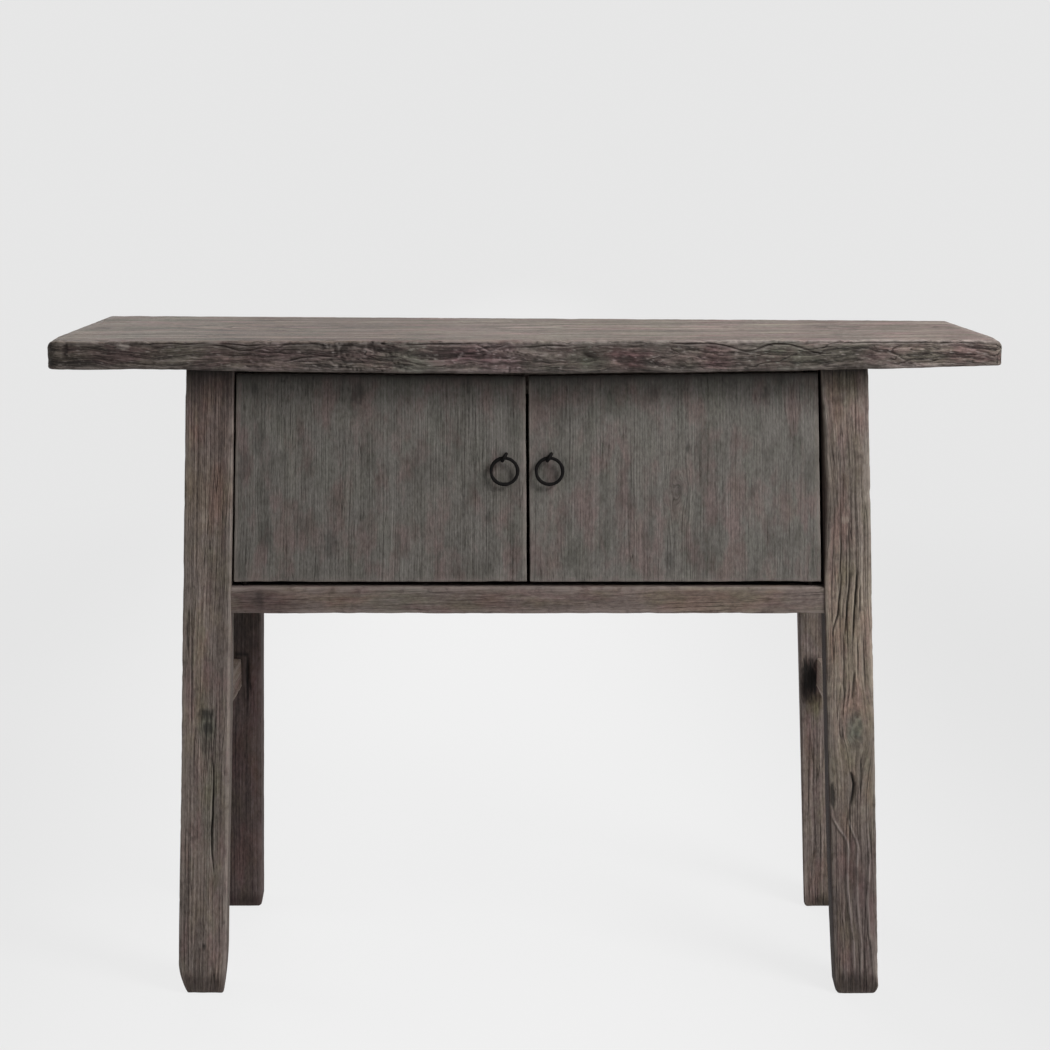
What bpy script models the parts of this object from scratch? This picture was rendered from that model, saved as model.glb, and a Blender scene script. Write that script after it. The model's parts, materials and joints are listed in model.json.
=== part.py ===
"""A farmhouse side table of old elm: a thick plank top on four splayed legs, with a two-door cabinet
hung between them. Rails, stretchers and panels are tenoned or grooved into the legs, the doors turn
on wooden pivot pins, and each door has an iron ring pull in a split-pin eye.

Metres, +Z up. The origin is on the floor, below the middle of the top. The doors face -Y.
"""

import math

import bmesh
import bpy
from mathutils import Matrix, Vector

# Top plank
TABLE_HEIGHT = 0.875
TOP_LENGTH = 1.212
TOP_DEPTH = 0.390
TOP_END_THICKNESS = 0.033
TOP_BELLY = 0.0095  # how much thicker the plank is halfway along
TOP_CORNER_RADIUS = 0.016
TOP_CORNER_STEPS = 4
TOP_EDGE_ROUND = 0.004
BELLY_STRIPS = 24

# Legs
LEG_WIDTH = 0.061
LEG_DEPTH = 0.053
END_OVERHANG = 0.1655  # from the ends of the top in to the heads of the legs
EDGE_OVERHANG = 0.036  # from the long edges of the top in to the heads of the legs
END_SPLAY = 0.027  # from the heads of the legs out to their feet
EDGE_SPLAY = 0.0365
LEG_EDGE_ROUND = 0.004
FOOT_EDGE_ROUND = 0.007
STUB_WIDTH = 0.030  # the stub tenon on a leg's head
STUB_DEPTH = 0.022
STUB_HEIGHT = 0.018

# Rails and stretchers
LOWER_RAIL_HEIGHT = 0.036
UPPER_RAIL_HEIGHT = 0.034
RAIL_THICKNESS = 0.024
FRONT_RAIL_RECESS = 0.004
OTHER_RAIL_RECESS = 0.006
DOOR_RAIL_THICKNESS = 0.018  # the upper rail behind the doors
STRETCHER_TOP = 0.384
STRETCHER_HEIGHT = 0.043
STRETCHER_THICKNESS = 0.022
STRETCHER_RECESS = 0.015
RAIL_EDGE_ROUND = 0.002
TENON_LENGTH = 0.030
TENON_THICKNESS = 0.010
TENON_HEIGHT = 0.018
TENON_SHOULDER = 0.0035  # rail left above or below a tenon

# Boards of the cabinet
PANEL_THICKNESS = 0.012
PANEL_RECESS = 0.012
PANEL_GROOVE = 0.008
FLOOR_THICKNESS = 0.012
FLOOR_DROP = 0.0145  # from the top of the lower rails down to the floor board
FLOOR_GROOVE = 0.006

# Doors
DOOR_HEIGHT = 0.269
DOOR_THICKNESS = 0.018
DOOR_RECESS = 0.008  # behind the front of the legs
DOOR_TOP_GAP = 0.0075
DOOR_BOTTOM_GAP = 0.0055
DOOR_SIDE_GAP = 0.0035
DOOR_MEETING_GAP = 0.0045
DOOR_HEEL_ROUND = 0.004
DOOR_EDGE_ROUND = 0.001
STOP_LENGTH = 0.100
STOP_HEIGHT = 0.024
STOP_DROP = 0.0035  # from the top of the upper rail down to the stop
BATTEN_WIDTH = 0.026
BATTEN_THICKNESS = 0.014
BATTEN_HOUSING = 0.005  # how deep a batten lies in its dovetail housing
BATTEN_DOVETAIL = 0.002  # how much the housing narrows on each side
BATTEN_END_MARGIN = 0.045
BATTEN_EDGE_MARGIN = 0.047

# Pivot pins
PIN_DIAMETER = 0.008
PIN_IN_DOOR = 0.020
PIN_IN_SOCKET = 0.012
PIN_INSET = 0.014  # from the door's hinge edge to the pivot axis
PIN_SIDES = 20

# Ring pulls
RING_DIAMETER = 0.038
RING_WIRE = 0.0035
EYE_FROM_EDGE = 0.027
EYE_HEIGHT = 0.1645  # above the door's lower edge
EYE_REACH = 0.008  # from the door's face to the middle of the eye
EYE_RADIUS = 0.0052
EYE_WIRE = 0.0026
EYE_SPREAD = 0.0031  # between the middles of the split pin's two legs
EYE_TILT = math.radians(30.0)
EYE_TAIL = 0.013
EYE_STEPS = 12
BEND_STEPS = 3
RING_STEPS = 32
RING_SIDES = 8
RING_DROP = 0.0010  # the ring's wire hangs this far below the middle of the eye

# Fits
SEAT_GAP = 0.0003  # between pieces that touch
RUNNING_GAP = 0.0004  # round a pin in its socket

# Meshing
ALONG = 0.9  # cosine past which an edge runs along a direction
ACROSS = 0.1  # cosine below which a face stands square to it
MERGE_DISTANCE = 1e-5
SHARP_ANGLE = math.radians(35.0)
PIVOT_MARK = 0.02  # drawn size of the empties on the joint axes

SIDES = {"left": -1, "right": 1}
FACES = {"front": -1, "back": 1}


def underside(x):
    """Height of the top plank's underside, which bellies down towards the middle of its length."""
    share = 2 * x / TOP_LENGTH
    return TABLE_HEIGHT - TOP_END_THICKNESS - TOP_BELLY * (1 - share * share)


SHOULDER_HALF_X = TOP_LENGTH / 2 - END_OVERHANG
SHOULDER_HALF_Y = TOP_DEPTH / 2 - EDGE_OVERHANG
FOOT_HALF_X = SHOULDER_HALF_X + END_SPLAY
FOOT_HALF_Y = SHOULDER_HALF_Y + EDGE_SPLAY
SHOULDER_Z = underside(0.0)
DOOR_HIGH = SHOULDER_Z - DOOR_TOP_GAP
DOOR_LOW = DOOR_HIGH - DOOR_HEIGHT
LOWER_RAIL_TOP = DOOR_LOW - DOOR_BOTTOM_GAP
LOWER_RAIL_BOTTOM = LOWER_RAIL_TOP - LOWER_RAIL_HEIGHT
UPPER_RAIL_TOP = SHOULDER_Z - SEAT_GAP
UPPER_RAIL_BOTTOM = UPPER_RAIL_TOP - UPPER_RAIL_HEIGHT
SPREADS = ((FOOT_HALF_X, SHOULDER_HALF_X), (FOOT_HALF_Y, SHOULDER_HALF_Y))
LEG_SECTION = (LEG_WIDTH, LEG_DEPTH)


def outer(axis, z):
    """Half the spread of the legs' outer faces along an axis, 0 for X and 1 for Y, at a height."""
    foot, shoulder = SPREADS[axis]
    return foot + (shoulder - foot) * z / SHOULDER_Z


def inner(axis, z):
    """Half the clear width between the legs along an axis at a height."""
    return outer(axis, z) - LEG_SECTION[axis]


# Scene


def clear_scene():
    for obj in list(bpy.data.objects):
        bpy.data.objects.remove(obj)


def new_collection(name):
    collection = bpy.data.collections.new(name)
    bpy.context.scene.collection.children.link(collection)
    return collection


def wood(name, colour, roughness):
    material = bpy.data.materials.new(name)
    material.use_nodes = True
    shader = material.node_tree.nodes["Principled BSDF"]
    shader.inputs["Base Color"].default_value = (*colour, 1.0)
    shader.inputs["Roughness"].default_value = roughness
    material.diffuse_color = (*colour, 1.0)
    return material


def iron(name):
    material = wood(name, (0.018, 0.016, 0.015), 0.55)
    material.node_tree.nodes["Principled BSDF"].inputs["Metallic"].default_value = 0.8
    return material


clear_scene()
TABLE = new_collection("side_table")
CUTTERS = new_collection("cutters")
TOP_WOOD = wood("elm_top", (0.20, 0.17, 0.145), 0.75)
FRAME_WOOD = wood("elm_frame", (0.10, 0.082, 0.072), 0.8)
DOOR_WOOD = wood("elm_doors", (0.105, 0.097, 0.088), 0.8)
INNER_WOOD = wood("elm_inside", (0.12, 0.098, 0.082), 0.85)
PIN_WOOD = wood("elm_pins", (0.085, 0.065, 0.05), 0.7)
PULL_IRON = iron("forged_iron")


# Meshes


def hexahedron(corner):
    """A box whose eight corners are given by a function of three signs."""
    bm = bmesh.new()
    bmesh.ops.create_cube(bm, size=2.0)
    for vert in bm.verts:
        vert.co = corner(*(math.copysign(1, c) for c in vert.co))
    bm.normal_update()
    bmesh.ops.recalc_face_normals(bm, faces=bm.faces)
    return bm


def box(low, high):
    return hexahedron(
        lambda *signs: Vector(h if s > 0 else l for s, l, h in zip(signs, low, high))
    )


def round_edges(bm, edges, radius, segments=2):
    bmesh.ops.bevel(
        bm, geom=list(edges), offset=radius, segments=segments, profile=0.5, affect="EDGES"
    )


def edges_along(bm, direction):
    """The edges that run close to a direction."""
    towards = Vector(direction)
    return [
        e for e in bm.edges
        if abs((e.verts[1].co - e.verts[0].co).normalized().dot(towards)) > ALONG
    ]


def cylinder(start, end, radius, sides):
    bm = bmesh.new()
    run = end - start
    turn = run.to_track_quat("Z", "Y").to_matrix().to_4x4()
    bmesh.ops.create_cone(
        bm, cap_ends=True, segments=sides, radius1=radius, radius2=radius, depth=run.length,
        matrix=Matrix.Translation((start + end) / 2) @ turn,
    )
    return bm


# Objects


def add_piece(name, bm, material, parent=None, origin=None):
    """Makes a named object of a mesh drawn in place, with its origin at a point of its own."""
    if origin is None:
        origin = sum((v.co for v in bm.verts), Vector()) / len(bm.verts)
    mesh = bpy.data.meshes.new(name)
    bm.transform(Matrix.Translation(-origin))
    bm.to_mesh(mesh)
    bm.free()
    mesh.materials.append(material)
    obj = bpy.data.objects.new(name, mesh)
    TABLE.objects.link(obj)
    obj.parent = parent
    obj.location = origin - (parent.matrix_world.translation if parent else Vector())
    return obj


def add_cutter(name, bm):
    mesh = bpy.data.meshes.new(name)
    bm.to_mesh(mesh)
    bm.free()
    obj = bpy.data.objects.new(name, mesh)
    CUTTERS.objects.link(obj)
    obj.hide_render = True
    obj.display_type = "WIRE"
    return obj


def combine(piece, other, operation):
    modifier = piece.modifiers.new(f"{operation.lower()} {other.name}", "BOOLEAN")
    modifier.operation = operation
    modifier.solver = "EXACT"
    modifier.object = other


def cut(cutter, *pieces):
    for piece in pieces:
        combine(piece, cutter, "DIFFERENCE")


def add_pivot(name, location, parent=None):
    empty = bpy.data.objects.new(name, None)
    TABLE.objects.link(empty)
    empty.empty_display_size = PIVOT_MARK
    empty.parent = parent
    empty.location = location - (parent.matrix_world.translation if parent else Vector())
    bpy.context.view_layer.update()
    return empty


# Top plank


def add_top():
    half_length = TOP_LENGTH / 2
    half_depth = TOP_DEPTH / 2
    low = (-half_length, -half_depth, TABLE_HEIGHT - TOP_END_THICKNESS)
    bm = box(low, (half_length, half_depth, TABLE_HEIGHT))
    round_edges(bm, edges_along(bm, (0, 0, 1)), TOP_CORNER_RADIUS, TOP_CORNER_STEPS)
    for strip in range(1, BELLY_STRIPS):
        x = TOP_LENGTH * (strip / BELLY_STRIPS - 0.5)
        everything = [*bm.verts, *bm.edges, *bm.faces]
        bmesh.ops.bisect_plane(bm, geom=everything, plane_co=(x, 0, 0), plane_no=(1, 0, 0))
    middle = TABLE_HEIGHT - TOP_END_THICKNESS / 2
    for vert in bm.verts:
        if vert.co.z < middle:
            vert.co.z = underside(vert.co.x)
    bm.normal_update()
    rim = [
        e for e in bm.edges
        if max(abs(f.normal.z) for f in e.link_faces) > ALONG
        and min(abs(f.normal.z) for f in e.link_faces) < ACROSS
    ]
    round_edges(bm, rim, TOP_EDGE_ROUND)
    return add_piece("top_board", bm, TOP_WOOD)


# Legs


def leg_corner(side, face, margin=0.0):
    """Corners of a leg: a straight post that leans outwards to its foot in both directions."""

    def corner(along_x, along_y, up):
        inset_x = -margin if along_x > 0 else LEG_WIDTH + margin
        inset_y = -margin if along_y > 0 else LEG_DEPTH + margin
        z = underside(SHOULDER_HALF_X - inset_x) - SEAT_GAP if up > 0 else 0.0
        return Vector((side * (outer(0, z) - inset_x), face * (outer(1, z) - inset_y), z))

    return corner


def add_leg(side_name, face_name, top):
    side, face = SIDES[side_name], FACES[face_name]
    bm = hexahedron(leg_corner(side, face))
    round_edges(bm, edges_along(bm, (0, 0, 1)), LEG_EDGE_ROUND)
    floor_edges = [e for e in bm.edges if all(v.co.z < SEAT_GAP for v in e.verts)]
    round_edges(bm, floor_edges, FOOT_EDGE_ROUND)
    leg = add_piece(f"leg_{face_name}_{side_name}", bm, FRAME_WOOD)

    middle_x = SHOULDER_HALF_X - LEG_WIDTH / 2
    head = Vector((side * middle_x, face * (SHOULDER_HALF_Y - LEG_DEPTH / 2), underside(middle_x)))
    reach = Vector((STUB_WIDTH / 2, STUB_DEPTH / 2, STUB_HEIGHT))
    stub = add_cutter(f"stub_{leg.name}", box(head - reach, head + reach))
    combine(leg, stub, "UNION")
    grown = reach + Vector((SEAT_GAP,) * 3)
    cut(add_cutter(f"mortise_{leg.name}", box(head - grown, head + grown)), top)
    return leg


# Rails, stretchers and panels


def between_legs(axis, side, low, high, recess, thickness, reach, leaning, margin=0.0):
    """Corners of a piece that runs along an axis between two legs, on one side of the table.

    It reaches past the legs' inner faces by reach, and its outer face lies recess behind the legs'
    outer faces, at each height if it leans and at mid height if it stands upright.
    """

    def corner(along, across, up):
        z = high + margin if up > 0 else low - margin
        ends = along * (inner(axis, z) + reach + margin)
        face = outer(1 - axis, z if leaning else (low + high) / 2) - recess
        depth = face + margin if across > 0 else face - thickness - margin
        point = Vector((0, 0, z))
        point[axis] = ends
        point[1 - axis] = side * depth
        return point

    return corner


def add_rail(name, axis, side, low, high, recess, thickness, tenon_low, tenon_high, legs):
    """A square-shouldered rail with a tenon at each end, and the mortises for it in its two legs."""
    shape = (axis, side, low, high, recess, thickness)
    bm = hexahedron(between_legs(*shape, reach=-SEAT_GAP, leaning=False))
    along = (1, 0, 0) if axis == 0 else (0, 1, 0)
    round_edges(bm, edges_along(bm, along), RAIL_EDGE_ROUND, segments=1)
    rail = add_piece(name, bm, FRAME_WOOD)
    face = outer(1 - axis, (low + high) / 2) - recess - thickness / 2
    reach = Vector((0, 0, (tenon_high - tenon_low) / 2))
    reach[axis] = inner(axis, (tenon_low + tenon_high) / 2) + TENON_LENGTH
    reach[1 - axis] = TENON_THICKNESS / 2
    middle = Vector((0, 0, (tenon_low + tenon_high) / 2))
    middle[1 - axis] = side * face
    combine(rail, add_cutter(f"tenons_{name}", box(middle - reach, middle + reach)), "UNION")
    grown = reach + Vector((SEAT_GAP,) * 3)
    cut(add_cutter(f"mortises_{name}", box(middle - grown, middle + grown)), *legs)
    return rail


def add_panel(name, axis, side, hosts):
    """A thin board that leans with the legs, its edges in grooves of two legs and two rails."""
    low = LOWER_RAIL_TOP - PANEL_GROOVE
    high = UPPER_RAIL_BOTTOM + PANEL_GROOVE
    shape = (axis, side, low, high, PANEL_RECESS, PANEL_THICKNESS, PANEL_GROOVE, True)
    panel = add_piece(name, hexahedron(between_legs(*shape)), INNER_WOOD)
    cut(add_cutter(f"groove_{name}", hexahedron(between_legs(*shape, margin=SEAT_GAP))), *hosts)
    return panel


def add_frame(legs):
    """Lower and upper rails on all four sides, and a stretcher low down on each end."""
    front, back = FACES["front"], FACES["back"]
    pairs = {
        "front": (0, front, [legs["front", s] for s in SIDES]),
        "back": (0, back, [legs["back", s] for s in SIDES]),
        "left": (1, SIDES["left"], [legs[f, "left"] for f in FACES]),
        "right": (1, SIDES["right"], [legs[f, "right"] for f in FACES]),
    }
    rails = {}
    for place, (axis, side, ends) in pairs.items():
        recess = FRONT_RAIL_RECESS if place == "front" else OTHER_RAIL_RECESS
        tenon_low = LOWER_RAIL_BOTTOM + TENON_SHOULDER
        rails["lower", place] = add_rail(
            f"{place}_lower_rail", axis, side, LOWER_RAIL_BOTTOM, LOWER_RAIL_TOP,
            recess, RAIL_THICKNESS, tenon_low, tenon_low + TENON_HEIGHT, ends,
        )
        thickness = RAIL_THICKNESS
        if place == "front":
            thickness = DOOR_RAIL_THICKNESS
            recess = LEG_DEPTH - DOOR_RAIL_THICKNESS
        lift = 0.0
        if axis == 1:
            lift = underside(inner(0, UPPER_RAIL_TOP)) - SHOULDER_Z
        tenon_high = UPPER_RAIL_TOP - TENON_SHOULDER
        rails["upper", place] = add_rail(
            f"{place}_upper_rail", axis, side, UPPER_RAIL_BOTTOM, UPPER_RAIL_TOP + lift,
            recess, thickness, tenon_high - TENON_HEIGHT, tenon_high, ends,
        )
        if axis == 1:
            add_rail(
                f"{place}_stretcher", axis, side, STRETCHER_TOP - STRETCHER_HEIGHT, STRETCHER_TOP,
                STRETCHER_RECESS, STRETCHER_THICKNESS,
                STRETCHER_TOP - STRETCHER_HEIGHT + TENON_SHOULDER, STRETCHER_TOP - TENON_SHOULDER, ends,
            )
        if place != "front":
            name = "back_panel" if place == "back" else f"{place}_side_panel"
            add_panel(name, axis, side, [*ends, rails["lower", place], rails["upper", place]])
    return rails


def add_floor(rails):
    """The cabinet's floor board, let into the lower rails and notched round the legs."""
    high = LOWER_RAIL_TOP - FLOOR_DROP
    low = high - FLOOR_THICKNESS
    rail_middle = (LOWER_RAIL_TOP + LOWER_RAIL_BOTTOM) / 2
    half_x = outer(0, rail_middle) - OTHER_RAIL_RECESS - RAIL_THICKNESS + FLOOR_GROOVE
    edge_y = outer(1, rail_middle) - RAIL_THICKNESS + FLOOR_GROOVE
    near = Vector((-half_x, -(edge_y - FRONT_RAIL_RECESS), low))
    far = Vector((half_x, edge_y - OTHER_RAIL_RECESS, high))
    floor = add_piece("cabinet_floor", box(near, far), INNER_WOOD)
    margin = Vector((SEAT_GAP,) * 3)
    groove = add_cutter("groove_cabinet_floor", box(near - margin, far + margin))
    cut(groove, *(rails["lower", place] for place in ("front", "back", "left", "right")))
    for side_name, side in SIDES.items():
        for face_name, face in FACES.items():
            notch = hexahedron(leg_corner(side, face, margin=SEAT_GAP))
            cut(add_cutter(f"notch_{face_name}_{side_name}", notch), floor)
    return floor


# Doors


def door_face(z):
    """Y of the doors' front face, which leans with the front legs."""
    return -(outer(1, z) - DOOR_RECESS)


def hinge_edge(z):
    """Distance from the middle of the table to a door's hinge edge."""
    return inner(0, z) - DOOR_SIDE_GAP


def pivot_point(side, z):
    return Vector((side * (hinge_edge(z) - PIN_INSET), door_face(z) + DOOR_THICKNESS / 2, z))


def door_corner(side):
    def corner(outwards, backwards, up):
        z = DOOR_HIGH if up > 0 else DOOR_LOW
        x = hinge_edge(z) if outwards > 0 else DOOR_MEETING_GAP / 2
        return Vector((side * x, door_face(z) + (DOOR_THICKNESS if backwards > 0 else 0.0), z))

    return corner


def add_door_board(side_name, pivot):
    side = SIDES[side_name]
    bm = hexahedron(door_corner(side))
    middle = hinge_edge((DOOR_LOW + DOOR_HIGH) / 2) / 2
    heel = [e for e in edges_along(bm, (0, 0, 1)) if side * e.verts[0].co.x > middle]
    round_edges(bm, heel, DOOR_HEEL_ROUND, segments=3)
    meeting = [e for e in edges_along(bm, (0, 0, 1)) if side * e.verts[0].co.x < middle]
    round_edges(bm, meeting, DOOR_EDGE_ROUND, segments=1)
    return add_piece(f"{side_name}_door", bm, DOOR_WOOD, pivot, pivot.matrix_world.translation)


def batten_corner(side, z, margin=0.0):
    """Corners of the dovetailed part of a batten, wider at its bed in the door than at the face."""

    def corner(outwards, backwards, up):
        flare = BATTEN_WIDTH / 2 - (BATTEN_DOVETAIL if backwards > 0 else 0.0) + margin
        height = z + up * flare
        inner_end = DOOR_MEETING_GAP / 2 + BATTEN_END_MARGIN - margin
        outer_end = hinge_edge(z) - BATTEN_END_MARGIN + margin
        bed = DOOR_THICKNESS - BATTEN_HOUSING - margin
        back = DOOR_THICKNESS + BATTEN_THICKNESS - BATTEN_HOUSING
        x = outer_end if outwards > 0 else inner_end
        return Vector((side * x, door_face(height) + (back if backwards > 0 else bed), height))

    return corner


def add_batten(name, side, z, door, pivot):
    add_piece(name, hexahedron(batten_corner(side, z)), INNER_WOOD, pivot)
    cut(add_cutter(f"housing_{name}", hexahedron(batten_corner(side, z, SEAT_GAP))), door)


def add_pin(name, side, door_end, towards, door, host, pivot):
    """A pivot pin: one end in the door's edge, the other turning in a socket of its host."""
    along = (pivot_point(side, DOOR_HIGH) - pivot_point(side, DOOR_LOW)).normalized() * towards
    edge = pivot_point(side, door_end)
    gap = DOOR_TOP_GAP if towards > 0 else DOOR_BOTTOM_GAP
    seat = underside(edge.x) - SHOULDER_Z if towards > 0 else 0.0
    start = edge - along * PIN_IN_DOOR
    end = edge + along * (gap + seat + PIN_IN_SOCKET)
    radius = PIN_DIAMETER / 2
    add_piece(name, cylinder(start, end, radius, PIN_SIDES), PIN_WOOD, pivot, edge)
    bore = cylinder(start - along * SEAT_GAP, edge + along * gap / 2, radius + SEAT_GAP, PIN_SIDES)
    cut(add_cutter(f"bore_{name}", bore), door)
    socket = cylinder(edge + along * gap / 2, end + along * SEAT_GAP, radius + RUNNING_GAP, PIN_SIDES)
    cut(add_cutter(f"socket_{name}", socket), host)


def add_stop(front_rail_face):
    """The block under the top, on the upper front rail, that both doors close against."""
    high = UPPER_RAIL_TOP - STOP_DROP
    low = high - STOP_HEIGHT

    def corner(along, backwards, up):
        z = high if up > 0 else low
        front = door_face(z) + DOOR_THICKNESS + SEAT_GAP
        y = front_rail_face - SEAT_GAP if backwards > 0 else front
        return Vector((along * STOP_LENGTH / 2, y, z))

    add_piece("door_stop", hexahedron(corner), FRAME_WOOD)


# Ring pulls


def eye_outline():
    """The split pin's centre line, as depth behind the middle of the eye and rise across it.

    It runs along a tail, through the door, round the eye, back through the door and along a tail.
    """
    half = EYE_SPREAD / 2
    bend = EYE_WIRE / 2 + SEAT_GAP
    back = EYE_REACH + DOOR_THICKNESS + bend
    tail = [(back, half + EYE_TAIL)]
    for step in range(BEND_STEPS + 1):
        angle = math.pi / 2 * step / BEND_STEPS
        tail.append((back - bend * (1 - math.cos(angle)), half + bend * (1 - math.sin(angle))))
    upper = [*tail, (EYE_REACH, half)]
    lower = [(depth, -rise) for depth, rise in reversed(upper)]
    tangent = math.atan2(half, EYE_REACH) + math.acos(EYE_RADIUS / math.hypot(EYE_REACH, half))
    around = []
    for step in range(EYE_STEPS + 1):
        angle = tangent + 2 * (math.pi - tangent) * step / EYE_STEPS
        around.append((EYE_RADIUS * math.cos(angle), EYE_RADIUS * math.sin(angle)))
    return [*upper, *around, *lower]


def wire_mesh(points, diameter):
    """A closed round wire along a line of points."""
    curve = bpy.data.curves.new("wire", "CURVE")
    curve.dimensions = "3D"
    curve.bevel_depth = diameter / 2
    curve.bevel_resolution = 1
    curve.use_fill_caps = True
    spline = curve.splines.new("POLY")
    spline.points.add(len(points) - 1)
    for place, point in zip(spline.points, points):
        place.co = (*point, 1.0)
    guide = bpy.data.objects.new("wire", curve)
    bpy.context.scene.collection.objects.link(guide)
    graph = bpy.context.evaluated_depsgraph_get()
    mesh = bpy.data.meshes.new_from_object(guide.evaluated_get(graph))
    bpy.data.objects.remove(guide)
    bm = bmesh.new()
    bm.from_mesh(mesh)
    bpy.data.meshes.remove(mesh)
    bmesh.ops.remove_doubles(bm, verts=bm.verts, dist=MERGE_DISTANCE)
    bmesh.ops.recalc_face_normals(bm, faces=bm.faces)
    return bm


def add_pull(side_name, door, pivot):
    lean = math.atan2(EDGE_SPLAY, SHOULDER_Z)
    up = Vector((0, math.sin(lean), math.cos(lean)))
    inwards = Vector((0, math.cos(lean), -math.sin(lean)))
    across = up * math.cos(EYE_TILT) + Vector((math.sin(EYE_TILT), 0, 0))
    z = DOOR_LOW + EYE_HEIGHT
    x = SIDES[side_name] * (DOOR_MEETING_GAP / 2 + EYE_FROM_EDGE)
    middle = Vector((x, door_face(z), z)) - inwards * EYE_REACH
    line = [middle + inwards * depth + across * rise for depth, rise in eye_outline()]
    add_piece(f"{side_name}_ring_eye", wire_mesh(line, EYE_WIRE), PULL_IRON, pivot, middle)
    hole_radius = (EYE_SPREAD + EYE_WIRE) / 2 + SEAT_GAP
    behind = middle + inwards * (EYE_REACH + DOOR_THICKNESS + EYE_WIRE)
    hole = cylinder(middle, behind, hole_radius, PIN_SIDES)
    cut(add_cutter(f"hole_{side_name}_ring_eye", hole), door)

    hang = add_pivot(f"{side_name}_ring_pivot", middle - Vector((0, 0, RING_DROP)), pivot)
    radius = (RING_DIAMETER - RING_WIRE) / 2
    bpy.ops.mesh.primitive_torus_add(
        major_radius=radius, minor_radius=RING_WIRE / 2,
        major_segments=RING_STEPS, minor_segments=RING_SIDES,
    )
    torus = bpy.context.object
    bm = bmesh.new()
    bm.from_mesh(torus.data)
    bpy.data.objects.remove(torus)
    top = hang.matrix_world.translation
    stand = Matrix.Rotation(math.pi / 2, 4, "X")
    bm.transform(Matrix.Translation(top - Vector((0, 0, radius))) @ stand)
    add_piece(f"{side_name}_ring_pull", bm, PULL_IRON, hang, top)


def add_door(side_name, top, rails):
    side = SIDES[side_name]
    pivot = add_pivot(f"{side_name}_door_pivot", pivot_point(side, DOOR_LOW))
    door = add_door_board(side_name, pivot)
    lower_batten = DOOR_LOW + BATTEN_EDGE_MARGIN
    upper_batten = DOOR_HIGH - BATTEN_EDGE_MARGIN
    add_batten(f"{side_name}_door_lower_batten", side, lower_batten, door, pivot)
    add_batten(f"{side_name}_door_upper_batten", side, upper_batten, door, pivot)
    lower_rail = rails["lower", "front"]
    add_pin(f"{side_name}_door_lower_pin", side, DOOR_LOW, -1, door, lower_rail, pivot)
    add_pin(f"{side_name}_door_upper_pin", side, DOOR_HIGH, 1, door, top, pivot)
    add_pull(side_name, door, pivot)


def shade_round_pieces():
    for obj in TABLE.objects:
        if obj.type == "MESH":
            obj.data.shade_smooth()
            obj.data.set_sharp_from_angle(angle=SHARP_ANGLE)


def build_table():
    top = add_top()
    legs = {(face, side): add_leg(side, face, top) for face in FACES for side in SIDES}
    rails = add_frame(legs)
    add_floor(rails)
    rail_middle = (UPPER_RAIL_TOP + UPPER_RAIL_BOTTOM) / 2
    add_stop(-(outer(1, rail_middle) - LEG_DEPTH + DOOR_RAIL_THICKNESS))
    for side_name in SIDES:
        add_door(side_name, top, rails)
    shade_round_pieces()


build_table()
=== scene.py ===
import json
import math

import bmesh
import bpy
import numpy as np
from mathutils import Euler, Matrix, Vector


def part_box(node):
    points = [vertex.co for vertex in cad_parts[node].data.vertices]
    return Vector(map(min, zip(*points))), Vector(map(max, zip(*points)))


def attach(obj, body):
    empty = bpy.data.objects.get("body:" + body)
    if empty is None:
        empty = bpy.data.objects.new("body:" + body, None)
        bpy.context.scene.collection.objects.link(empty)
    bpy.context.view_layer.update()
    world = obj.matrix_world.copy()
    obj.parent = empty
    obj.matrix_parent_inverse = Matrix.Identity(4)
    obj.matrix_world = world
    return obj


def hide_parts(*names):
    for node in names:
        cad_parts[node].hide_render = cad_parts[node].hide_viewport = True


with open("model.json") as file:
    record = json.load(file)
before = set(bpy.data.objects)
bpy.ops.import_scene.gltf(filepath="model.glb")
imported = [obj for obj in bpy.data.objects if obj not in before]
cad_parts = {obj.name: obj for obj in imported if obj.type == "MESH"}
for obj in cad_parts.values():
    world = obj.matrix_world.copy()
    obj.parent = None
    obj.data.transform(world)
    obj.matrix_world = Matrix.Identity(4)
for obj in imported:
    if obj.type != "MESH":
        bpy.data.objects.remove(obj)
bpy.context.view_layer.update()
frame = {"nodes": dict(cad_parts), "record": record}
scene = bpy.context.scene
cadNodes = frame["nodes"]
slotOf = {part["node"]: part["material_slot"] for part in frame["record"]["subparts"]}
bodyOf = {n: b for b, names in frame["record"]["behaviour"]["bodies"].items() for n in names}
mm = 0.001
print("frame loaded with", len(cadNodes), "CAD nodes")


# Camera: the photograph's own viewpoint
cameraView = {
    "place": (0.0193, -2.9515, 1.1213),
    "lens": 74.48,
    "sensor": 36.0,
    "pitch": 9.959,  # degrees below level
    "turn": -0.45,  # degrees towards +X
    "tilt": -0.12,  # degrees anticlockwise
}
cameraData = bpy.data.cameras.new("photoCamera")
cameraData.sensor_width = cameraView["sensor"]
cameraData.lens = cameraView["lens"]
camera = bpy.data.objects.new("photoCamera", cameraData)
camera.location = cameraView["place"]
heading = Euler((math.radians(90 - cameraView["pitch"]), 0, -math.radians(cameraView["turn"])))
tilt = Matrix.Rotation(math.radians(cameraView["tilt"]), 3, "Z")
camera.rotation_euler = (heading.to_matrix() @ tilt).to_euler()
scene.collection.objects.link(camera)
scene.camera = camera
scene.view_settings.view_transform = "Standard"


# Node helpers
def addNode(tree, kind, links=None, **settings):
    made = tree.nodes.new(kind)
    for key, value in settings.items():
        setattr(made, key, value)
    for socket, value in (links or {}).items():
        if isinstance(value, bpy.types.NodeSocket):
            tree.links.new(value, made.inputs[socket])
        else:
            made.inputs[socket].default_value = value
    return made


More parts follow.
